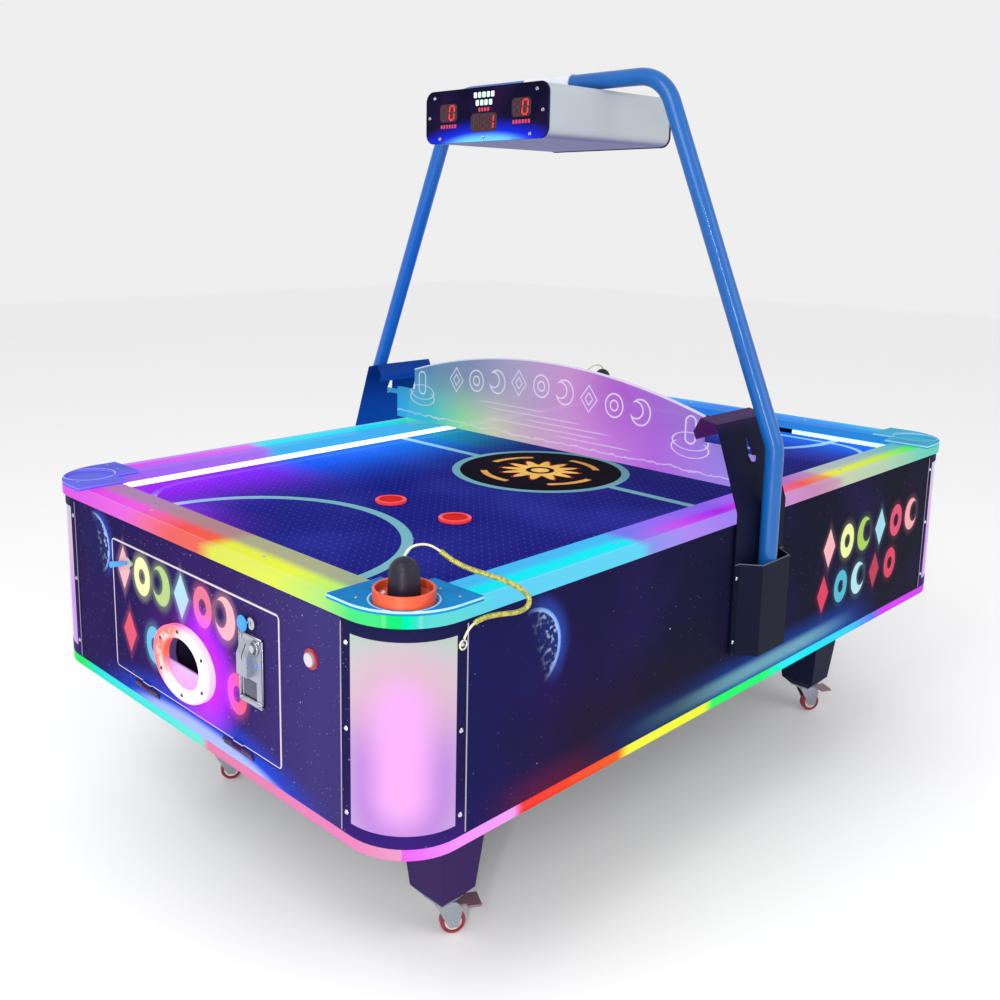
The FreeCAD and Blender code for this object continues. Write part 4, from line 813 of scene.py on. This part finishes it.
def trays():
    """Printed corner trays under clear acrylic: starry blue on top, with a painted highlight along
    every cut edge and a faint painted glow all over.
    """
    paint = Paint("tray_print", Roughness=0.14, Specular_IOR_Level=0.004)
    near = paint.y.fade(0.2, -0.2)
    tint = paint.over(
        (84, 88, 196), (near, (20, 112, 170)), (paint.x.fade(-0.3, 0.3), (24, 150, 184)))
    cloud = paint.noise(16.0, 3.0).fade(0.4, 0.7)
    from_mallet = paint.reach(abs(paint.x) - MALLET_X, abs(paint.y) - MALLET_Y)
    ring = paint.stroke(from_mallet - 0.057, 0.0016)
    colour = paint.over(
        tint, (cloud * 0.35, (24, 50, 130)),
        (paint.stars(70.0, 0.0016, 0.4) * 0.8, (216, 236, 246)), (ring * 0.7, (186, 206, 226)))
    recess = paint.z.fade(0.7788, 0.7796)
    # painted highlight: the cut edges below the top are pale, violet on the near trays
    edge = paint.mix(near, (120, 110, 216), (150, 190, 214))
    below = paint.mix(paint.z.fade(0.7758, 0.7750), edge, tint)
    paint.base(paint.mix(recess, below, colour))
    # painted light: the tray glows faintly all over
    paint.glow(paint.mix(recess, below, tint), 0.16)
    dress(paint, "corner_trays")

    screws = [
        screw((sx * along, sy * across, TRAY_TOP_Z), (0, 0, 1), 0.0034, 0.0014)
        for sx in (-1, 1) for sy in (-1, 1)
        for along, across in ((0.868, 0.592), (0.992, 0.486), (0.866, 0.545))]
    piece("tray_screws", *join(screws), metal("tray_screw_steel"), "table", "zinc")


def metal(name, colour=(168, 172, 182), roughness=0.28):
    red, green, blue = colour
    second = (red * 0.86, green * 0.86, blue * 0.88)
    return worn(name, colour, second, roughness=roughness, Metallic=1.0)


# ---- the divider

def divider():
    """Hazy acrylic that carries the colours of the lights below it, with engraved outlines."""
    paint = Paint("divider_acrylic", Roughness=0.25, Specular_IOR_Level=0.06)
    y, z, reach = paint.y, paint.z, paint.reach
    high = paint.ramp(y, -0.57, 0.57, [
        (-0.54, (150, 136, 214)), (-0.40, (158, 112, 204)), (-0.24, (176, 96, 204)),
        (-0.08, (198, 146, 206)), (0.08, (170, 160, 194)), (0.25, (124, 142, 172)),
        (0.42, (92, 140, 172)), (0.54, (76, 152, 190))])
    low = paint.ramp(y, -0.57, 0.57, [
        (-0.54, (160, 140, 232)), (-0.34, (186, 110, 226)), (-0.14, (216, 150, 226)),
        (0.02, (206, 176, 206)), (0.16, (208, 214, 186)), (0.28, (150, 226, 160)),
        (0.40, (60, 200, 200)), (0.54, (50, 176, 236))])
    marks = []

    def outline(distance, width=0.0022, share=1.0):
        marks.append(paint.stroke(distance, width, 0.0014) * share)

    # a mallet at each end, as an upright grip over two flat rings
    for middle in (-0.435, 0.435):
        across, up = y - middle, z - 0.882
        outline(reach(across, up * 2.3) - 0.046)
        outline(reach(across, (up + 0.016) * 2.3) - 0.048, share=up.fade(0.0, -0.004))
        outline(reach(across, paint.high(abs(up - 0.026) - 0.018, 0.0)) - 0.013)
    # a row of plain gems, rings and crescents
    for index in range(9):
        across, up = y - (0.300 - index * 0.075), z - (0.954 - abs(index - 3.6) * 0.006)
        round_off = reach(across, up * 0.9)
        if index % 3 == 1:
            outline(round_off - 0.025)
            outline(round_off - 0.011)
        elif index % 3 == 2:
            bite = 0.020 - reach(across - 0.013, up - 0.004)
            outline(paint.high(round_off - 0.027, bite))
        else:
            square_off = abs(across) * 1.05 + abs(up) * 0.8
            outline(square_off - 0.026)
            outline(square_off - 0.012)
    # thin streaks below it
    for middle, height, half in ((0.10, 0.888, 0.13), (0.03, 0.874, 0.17), (-0.08, 0.860, 0.15),
                                 (0.00, 0.846, 0.2), (-0.16, 0.834, 0.13)):
        outline(z - height, 0.0014, abs(y - middle).fade(half, half - 0.05) * 0.6)
    outline(z - 0.802 - paint.noise(24.0, 4.0) * 0.03, 0.002, 0.6)
    edge = paint.stroke(reach(y, z + 0.579) - 1.593, 0.005, 0.002)
    mark = paint.high(*marks, edge)
    colour = paint.mix(z.fade(0.80, 0.96), low, high)
    paint.shine(paint.mix(mark * 0.8, colour, (226, 224, 240)), 0.55, 0.48)
    haze = paint.noise(5.0) * 0.10 + 0.80
    paint.set("Alpha", paint.low(haze + mark * 0.25, 1.0))
    paint.bump(mark * -1.0, 0.0008, 0.5)
    dress(paint, "divider")


# ---- gantry

def gantry():
    tube_paint = plain("tube_paint", 5.0, (14, 80, 150), (18, 90, 162), Roughness=0.32,
                       Specular_IOR_Level=0.15, Coat_Weight=0.45, Coat_Roughness=0.06)
    # painted light: the tube glows blue towards the far side, lit by the table's lights
    tube_paint.glow((30, 100, 240), tube_paint.y.fade(0.1, 0.5) * 0.16)
    tube_paint.bump(tube_paint.noise(30.0), 0.0001, 0.02)
    dress(tube_paint, "gantry_tube")

    # the folded sheet is lit from inside the table: violet on the near side, blue on the far one
    sheet = Paint("sheet_powder", Specular_IOR_Level=0.03)
    sheet.grain(520.0, 0.36, 0.1, 0.0003)
    far = sheet.y.fade(-0.1, 0.1)
    sheet.base(sheet.mix(far, (16, 18, 42), (16, 36, 92)))
    inside = abs(sheet.y).fade(0.566, 0.545)
    low = sheet.z.fade(0.98, 0.80)
    light = sheet.mix(far, (150, 60, 190), (10, 110, 255))
    sheet.glow(light, inside * (low * 0.16 + 0.12) + far * low * 0.22)
    dress(sheet, "side_brackets")

    pocket = Paint("pocket_powder", Specular_IOR_Level=0.03)
    pocket.grain(520.0, 0.36, 0.1, 0.0003)
    rim = pocket.stroke(pocket.z - 0.664, 0.002, 0.0006)
    pocket.base(pocket.over(
        (19, 22, 40), (pocket.y.fade(-0.1, 0.1), (16, 24, 58)),
        (rim * 0.6, (120, 126, 150))))
    dress(pocket, "post_pockets")


# ---- score box

FACE_X = 0.2243
# each segment's place across and up the digit, and whether it lies level
SEGMENTS = {
    "top": (0, 1, True), "middle": (0, 0, True), "bottom": (0, -1, True),
    "left_high": (-1, 0.5, False), "right_high": (1, 0.5, False),
    "left_low": (-1, -0.5, False), "right_low": (1, -0.5, False),
}
DIGITS = {
    "0": {"top", "bottom", "left_high", "left_low", "right_high", "right_low"},
    "1": {"right_high", "right_low"},
    " ": set(),
}


def digit(middle_y, middle_z, height, value, side):
    """A seven-segment digit on the score face as bars: those that shine, and those that don't."""
    half, wide, thick = height / 2, height * 0.25, height * 0.055
    lit, dark = [], []
    for name, (across, up, level) in SEGMENTS.items():
        y, z = across * wide, up * half
        reach = (wide if level else half / 2) - thick * 0.7
        outline = [(-reach, 0), (-reach + thick, thick), (reach - thick, thick), (reach, 0),
                   (reach - thick, -thick), (-reach + thick, -thick)]
        if not level:
            outline = [(b, a) for a, b in outline]
        # the digits read from the left, and lean a little, as seen from outside
        placed = [
            (middle_y + side * (y + a + 0.09 * (z + b)), middle_z + z + b) for a, b in outline]
        bar = prism(placed, side * (FACE_X + 0.0004), side * (FACE_X + 0.0009))
        (lit if name in DIGITS[value] else dark).append(bar)
    return lit, dark


def score_box():
    case = Paint("case_powder", Specular_IOR_Level=0.3)
    # painted shade and light: the underside is darker, with a faint violet glow from below
    under = case.z.fade(1.545, 1.53)
    light_grey = case.drift(4.0, (160, 168, 174), (170, 177, 183))
    case.base(case.mix(under * 0.8, light_grey, (74, 76, 112)))
    case.grain(620.0, 0.42, 0.12, 0.0004)
    case.glow((70, 60, 190), under * 0.18)
    dress(case, "score_case")

    face = Paint("score_print", Roughness=0.12, Specular_IOR_Level=0.02)
    cloud = face.noise(9.0, 3.0).fade(0.4, 0.8)
    arc = face.reach(face.y, face.z - 1.5545 + 0.62) - 0.62
    bright = arc.fade(0.001, -0.020) * abs(face.y).fade(0.17, 0.05)
    colour = face.over(
        (12, 10, 34), (cloud * 0.5, (40, 22, 62)),
        (face.stars(60.0, 0.0012, 0.3) * 0.5, (160, 160, 220)),
        (arc.fade(0.034, -0.004), (18, 30, 170)), (bright * 0.8, (96, 176, 244)))
    plate = abs(face.x).fade(0.2236, 0.2239)
    colour = face.mix(plate, (30, 28, 60), colour)
    face.base(colour)
    face.glow(colour, plate * arc.fade(0.03, -0.01) * 0.5)
    dress(face, "score_faces")

    lit_paint = Paint("digit_lit", Roughness=0.4)
    level = lit_paint.noise(300.0) * 0.1 + 0.9
    lit_paint.base((120, 10, 10))
    lit_paint.glow(lit_paint.mix(level, (200, 10, 10), (255, 34, 30)), 1.5)
    dark_paint = plain("digit_dark", 80.0, (62, 16, 30), (78, 20, 32), Roughness=0.4)
    window_paint = plain("display_window", 40.0, (34, 10, 26), (44, 12, 30), Roughness=0.1)
    label_paint = plain("display_label", 60.0, (150, 36, 60), (180, 44, 66), Roughness=0.4)
    label_paint.glow((200, 40, 60), 0.25)
    badge_paint = Paint("face_badge", Roughness=0.4)
    badge = badge_paint.ramp(abs(badge_paint.y), 0.0, 0.04, [
        (0.0, (226, 234, 170)), (0.012, (150, 208, 218)), (0.024, (230, 230, 236)),
        (0.036, (226, 96, 140))])
    badge_paint.base(badge)
    badge_paint.glow(badge, 0.35)

    lit, dark, windows, labels, badges, screws = [], [], [], [], [], []
    for side in (-1, 1):
        def flat(middle_y, middle_z, half_y, half_z):
            """A thin plate with cut corners on the score face."""
            cut = min(half_y, half_z) * 0.3
            outline = [
                (-half_y, -half_z + cut), (-half_y + cut, -half_z), (half_y - cut, -half_z),
                (half_y, -half_z + cut), (half_y, half_z - cut), (half_y - cut, half_z),
                (-half_y + cut, half_z), (-half_y, half_z - cut)]
            placed = [(middle_y + a, middle_z + b) for a, b in outline]
            return prism(placed, side * (FACE_X - 0.0004), side * (FACE_X + 0.0003))

        for middle, height, values in (
                (-side * 0.113, 1.598, " 0"), (0.0, 1.572, "  1"), (side * 0.113, 1.598, " 0")):
            count = len(values)
            windows.append(flat(middle, height, 0.0125 * count + 0.003, 0.020))
            for index, value in enumerate(values):
                place = middle + side * (index - (count - 1) / 2) * 0.0225
                more_lit, more_dark = digit(place, height, 0.030, value, side)
                lit += more_lit
                dark += more_dark
        for middle, height, count in ((-0.113, 1.568, 6), (0.113, 1.568, 6), (0.0, 1.600, 4)):
            for index in range(count):
                place = middle + (index - (count - 1) / 2) * 0.009
                labels.append(flat(place, height, 0.0031, 0.0042))
        for row, height in enumerate((1.632, 1.615)):
            for index in range(5 - row):
                place = (index - (4 - row) / 2) * 0.0135
                badges.append(flat(place, height, 0.0048, 0.006))
        for y_place, z_place in ((-0.158, 1.633), (0.158, 1.633), (-0.175, 1.589), (0.175, 1.589),
                                 (-0.140, 1.541), (0.140, 1.541), (0.0, 1.541)):
            screws.append(screw((side * 0.224, y_place, z_place), (side, 0, 0), 0.0046, 0.003))
    for name, parts, paint in (
            ("windows", windows, window_paint), ("digits_dark", dark, dark_paint),
            ("digits_lit", lit, lit_paint), ("labels", labels, label_paint),
            ("badges", badges, badge_paint)):
        piece(f"display_{name}", *join(parts), paint, "table", "score_face", False)
    piece("score_screws", *join(screws), metal("score_screw_steel"), "table", "zinc")


# ---- coin door fittings

def oval(half_y, half_z, angles):
    """Points (y, z) at these angles round the return ring's middle."""
    return [(RING_Y + half_y * math.cos(a), RING_Z + half_z * math.sin(a)) for a in angles]


def door_fittings():
    ring = Paint("return_ring", Roughness=0.2, Specular_IOR_Level=0.4)
    across, up = ring.y - RING_Y, ring.z - RING_Z
    away = ring.reach(across * 0.72, up)
    warm = ring.fade(across * 0.8 + up * 0.5, -0.005, 0.06)
    streaks = ring.noise(70.0, 3.0).fade(0.35, 0.65)
    ring.shine(ring.over(
        (255, 236, 246), (warm, (250, 92, 74)),
        (ring.fade(up * -1.0 - across * 0.5, 0.02, 0.06), (250, 214, 255)),
        (ring.stroke(away - 0.060, 0.004, 0.009) * 0.6 * streaks, WHITE),
        (away.fade(0.068, 0.076) * 0.35, (240, 110, 230))), 0.7, 1.0)
    ring.bump(streaks, 0.0006, 0.3)
    dress(ring, "return_ring")

    screws = [
        screw((-1.021, y, z), (-1, 0, 0), 0.0038, 0.0018)
        for y, z in oval(0.088, 0.0635, map(math.radians, (84, 150, 212, 330, 30, 270)))]
    dark_steel = worn("ring_screw_steel", (66, 34, 78), (40, 20, 56), roughness=0.35)
    piece("return_ring_screws", *join(screws), dark_steel, "door", "zinc")

    # the clear lip that closes the lower part of the return opening
    lip_start, lip_turn, lip_count = math.pi + 0.12, math.pi - 0.24 + 0.08, 40
    lip = oval(
        0.0645, 0.0505, (lip_start + lip_turn * step / lip_count for step in range(lip_count)))
    # painted light: the lip glows pink, lit by the ring, pinker low down
    clear = Paint("return_lip", Roughness=0.2, Specular_IOR_Level=0.4)
    rise = clear.z.fade(0.462, 0.515)
    clear.shine(clear.mix(rise, (236, 140, 240), (176, 120, 214)), 0.6, 0.5)
    clear.set("Alpha", rise * -0.25 + 0.85)
    piece("return_lip", *prism(lip, -1.0150, -1.0130), clear, "door", "ring_glow", False)

    plate_x = -1.013
    trim = [
        screw((plate_x, y_place, z_place), (-1, 0, 0), 0.0042, 0.0026)
        for y_place in (-0.243, -0.187) for z_place in (0.518, 0.635)]
    trim.append(lathe(
        [(0.0135, -0.0006), (0.0135, 0.003), (0.0118, 0.0046), (0.0106, 0.003), (0.0102, 0.0002),
         (0.004, 0.0)], (plate_x, -0.231, 0.622), (-1, 0, 0), 28))
    # the casting's raised border
    left, right, foot, head, wide = -0.2575, -0.1865, 0.5205, 0.6435, 0.003
    for low, high in (((left, foot), (left + wide, head)), ((right - wide, foot), (right, head)),
                      ((left, head - wide), (right, head)), ((left, foot), (right, foot + wide))):
        trim.append(slab((plate_x - 0.0022, *low), (plate_x + 0.0004, *high)))
    piece("coin_plate_screws", *join(trim), metal("coin_screw_steel"), "door", "coin_metal")
    lamp = Paint("coin_lamp", Roughness=0.2)
    lamp.base((20, 40, 160))
    lamp.glow(lamp.drift(300.0, (30, 90, 255), (90, 150, 255)), 1.4)
    piece("coin_lamp", *lathe(
        [(0.0032, -0.0004), (0.0032, 0.0016), (0.0024, 0.0028), (0.0010, 0.0033)],
        (plate_x, -0.236, 0.590), (-1, 0, 0)), lamp, "door", "coin_metal")

    dress(metal("lock_chrome", (196, 198, 206), 0.16), "door_lock_left", "door_lock_right")
    blue = worn("key_blue", (22, 112, 188), (38, 140, 214), roughness=0.35)
    # the locks' keys hang beside them: a strap on the left one, a round tag on the right one
    strap = [(0.226, 0.0035), (0.262, 0.0055), (0.296, 0.0070), (0.300, 0.004)]
    top = [(y, 0.666 + half - (y - 0.219) * 0.30) for y, half in strap]
    bottom = [(y, 0.666 - half - (y - 0.219) * 0.30) for y, half in reversed(strap)]
    piece("key_strap_left", *prism(top + bottom, -1.0172, -1.0156), blue, "lock_left",
          "coin_metal", False)
    tag = lathe(
        [(0.0125, 0.0), (0.0150, 0.0008), (0.0155, 0.0020), (0.0145, 0.0032), (0.0115, 0.0040),
         (0.0060, 0.0036), (0.0030, 0.0034)], (-1.0160, -0.200, 0.660), (-1, 0, 0), 28)
    stem = slab((-1.0172, -0.219, 0.6645), (-1.0158, -0.206, 0.6675))
    piece("key_tag_right", *join([tag, stem]), blue, "lock_right", "coin_metal")

    cap = Paint("button_cap", Roughness=0.3, Specular_IOR_Level=0.5)
    rim = cap.fade(cap.reach(cap.y + 0.392, cap.z - 0.653), 0.010, 0.013)
    colour = cap.mix(rim, (176, 172, 180), (150, 122, 132))
    cap.base(colour)
    cap.glow(colour, 0.06)
    cap.bump(cap.noise(300.0), 0.0001, 0.3)
    dress(cap, "start_button")
    bezel = worn("bezel_red", (168, 22, 44), (140, 16, 36), roughness=0.25)
    bezel.glow((200, 20, 50), 0.15)
    dress(bezel, "start_button_bezel")


# ---- mallets, pucks and metalwork

def game_pieces():
    puck = Paint("puck_red", Roughness=0.3, Specular_IOR_Level=0.4)
    top = puck.z.fade(0.7436, 0.7441)
    puck.base(puck.over(
        (200, 40, 48), (top, (196, 48, 44)), (puck.noise(60.0) * 0.2, (206, 44, 60))))
    # painted light: the pucks glow a little red, which makes them brighter
    puck.glow((236, 70, 66), 0.34)
    puck.bump(puck.noise(500.0), 0.0001, 0.3)
    dress(puck, "puck_a", "puck_b")

    for index, (x, y) in enumerate(((-0.479, 0.021), (-0.473, -0.177))):
        ridge = lathe(
            [(0.0315, -0.0003), (0.0315, 0.0003), (0.0300, 0.0007), (0.0285, 0.0003),
             (0.0285, -0.0003)], (x, y, 0.7446), (0, 0, 1), 48)
        piece(f"puck_ridge_{index + 1}", *ridge, puck, ("puck_a_body", "puck_b_body")[index],
              "puck_red")

    ring = worn("mallet_orange", (204, 72, 38), (216, 84, 48), roughness=0.32,
                Specular_IOR_Level=0.4)
    dress(ring, "mallet_ring_near", "mallet_ring_far")
    handle = plain("mallet_black", 18.0, (20, 16, 30), (30, 26, 44), Roughness=0.42,
                   Specular_IOR_Level=0.28)
    groove_pitch = 0.0055
    grooves = handle.fade(
        handle.math("SINE", handle.z * (2 * math.pi / groove_pitch)), 0.1, 0.9)
    grooves = grooves * handle.z.fade(0.826, 0.834)
    handle.bump(grooves + handle.noise(380.0) * 0.15, 0.0006, 0.8)
    dress(handle, "mallet_handle_near", "mallet_handle_far")
    bolt_circle = 0.038
    bolt_paint = worn("bolt_white", (226, 214, 206), (206, 196, 196), roughness=0.3)
    for side, sign in (("near", 1), ("far", -1)):
        x, y = -sign * MALLET_X, -sign * MALLET_Y
        heads = [
            screw((x + bolt_circle * math.cos(angle), y + bolt_circle * math.sin(angle), 0.7821),
                  (0, 0, 1), 0.005, 0.0035) for angle in map(math.radians, (20, 110, 200, 290))]
        piece(f"mallet_bolts_{side}", *join(heads), bolt_paint, f"mallet_{side}", "zinc")


def wheel_paint(name):
    """Red rubber round a cream hub, about the wheel's own middle."""
    low, high = (Vector(corner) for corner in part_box(name))
    middle = (low + high) / 2
    paint = Paint(name, Roughness=0.42)
    turn = math.radians(-30)
    ahead = (paint.x - middle.x) * math.cos(turn) + (paint.y - middle.y) * math.sin(turn)
    away = paint.reach(ahead, paint.z - middle.z)
    size = (high.z - low.z) / 2
    paint.base(paint.over(
        paint.drift(90.0, (124, 24, 44), (148, 34, 54)),
        (away.fade(size * 0.70, size * 0.67),
         paint.drift(60.0, (222, 214, 204), (198, 190, 182))),
        (away.fade(size * 0.30, size * 0.27), (120, 122, 128))))
    groove = paint.stroke(away - size * 0.86, size * 0.05, size * 0.04)
    paint.bump(groove * -1.0 + paint.noise(400.0) * 0.2, 0.001, 0.5)
    dress(paint, name)


# nodes with a plain finish: its name, its two colours, its roughness and how metallic it is
PLAIN_FINISHES = (
    ("tube_saddle", "saddle_paint", (214, 216, 222), (198, 200, 208), 0.4, 0),
    ("rail_cores", "rail_board", (208, 186, 150), (190, 164, 124), 0.7, 0),
    ("coin_button", "coin_steel", (206, 208, 214), (170, 172, 180), 0.2, 1.0),
    ("coin_flap", "flap_steel", (96, 98, 114), (76, 78, 94), 0.25, 0.9),
    ("coin_box", "cash_steel", (140, 142, 146), (120, 122, 128), 0.4, 0.9),
    ("return_tray", "tray_plastic", (26, 22, 40), (38, 30, 58), 0.45, 0),
    ("door_hinges", "hinge_steel", (70, 40, 96), (44, 28, 62), 0.45, 0.3),
    ("base_board", "base_paint", (34, 30, 60), (26, 24, 48), 0.6, 0),
    ("air_plenum blower_housing", "box_steel", (150, 152, 156), (130, 132, 138), 0.4, 0.8),
    ("blower_impeller", "rotor_plastic", (34, 34, 38), (46, 46, 52), 0.4, 0),
    ("goal_chutes", "chute_black", (20, 20, 30), (30, 28, 44), 0.5, 0),
)


def metalwork():
    legs = Paint("leg_paint", Specular_IOR_Level=0.03)
    # painted light and shade: the legs are lit violet at the coin-door end and blue at the other,
    # lighter near the top under the lower strip and darker towards the floor
    near = legs.x.fade(0.2, -0.4)
    dark = legs.mix(near, (24, 28, 50), (52, 36, 84))
    lit = legs.mix(near, (26, 44, 80), (70, 36, 118))
    legs.base(legs.mix(legs.z.fade(0.38, 0.2), lit, dark))
    legs.grain(420.0, 0.34, 0.12, 0.0004)
    dress(legs, "legs")

    zinc = metal("caster_zinc", (176, 182, 192), 0.3)
    dress(zinc, "caster_plates")
    pedal = worn("pedal_plastic", (112, 84, 98), (136, 108, 120), roughness=0.35)
    for place in ("front_near", "front_far", "back_near", "back_far"):
        dress(zinc, f"caster_fork_{place}")
        dress(pedal, f"brake_pedal_{place}")
        wheel_paint(f"caster_wheel_{place}")

    dress(metal("trim_silver", (176, 174, 182), 0.3), "corner_trims")
    dress(metal("screw_zinc", (206, 208, 214), 0.22), "panel_screws")
    dress(worn("coin_casting", (146, 150, 164), (168, 172, 184), scale=8.0, roughness=0.30,
               Metallic=0.7), "coin_plate")
    for names, finish, first, second, roughness, metallic in PLAIN_FINISHES:
        paint = worn(finish, first, second, roughness=roughness, Metallic=metallic)
        dress(paint, *names.split())


# ---- floor, light and finish

def surroundings():
    size = 14.0
    mesh = bpy.data.meshes.new("floor")
    mesh.from_pydata(
        [(-size, -size, 0), (size, -size, 0), (size, size, 0), (-size, size, 0)], [],
        [(0, 1, 2, 3)])
    floor = put("floor", mesh)
    paint = plain("floor", 0.6, (250, 250, 251), (252, 252, 252), Roughness=0.6,
                  Specular_IOR_Level=0.2)
    mesh.materials.append(paint.material)

    world = bpy.data.worlds.new("studio")
    world.use_nodes = True
    background = world.node_tree.nodes["Background"]
    background.inputs["Color"].default_value = (1.0, 1.0, 1.0, 1.0)
    background.inputs["Strength"].default_value = 0.86
    scene.world = world

    def lamp(name, shape, place, size, power):
        data = bpy.data.lights.new(name, "AREA")
        data.shape, data.size, data.energy = shape, size, power
        light = put(name, data)
        light.location = place
        return light

    for name, place, size, power in (
            ("key", (-3.2, -0.6, 3.4), 2.4, 60), ("fill", (0.6, -3.6, 2.6), 2.6, 30)):
        light = lamp(name, "DISK", place, size, power)
        aim = Vector((0, 0, 0.7)) - Vector(place)
        light.rotation_mode = "QUATERNION"
        light.rotation_quaternion = aim.to_track_quat("-Z", "Y")
    # a tall narrow lamp, for the bright line down each glossy tube
    strip = lamp("strip", "RECTANGLE", (-3.4, -2.2, 1.6), 0.12, 70)
    strip.data.size_y = 3.0
    strip.rotation_euler = (math.radians(90), 0, math.radians(-57))
    scene.view_settings.view_transform = "Standard"


light_strip()
rails()
panels()
corner_windows()
playfield()
trays()
divider()
gantry()
score_box()
door_fittings()
game_pieces()
metalwork()
surroundings()
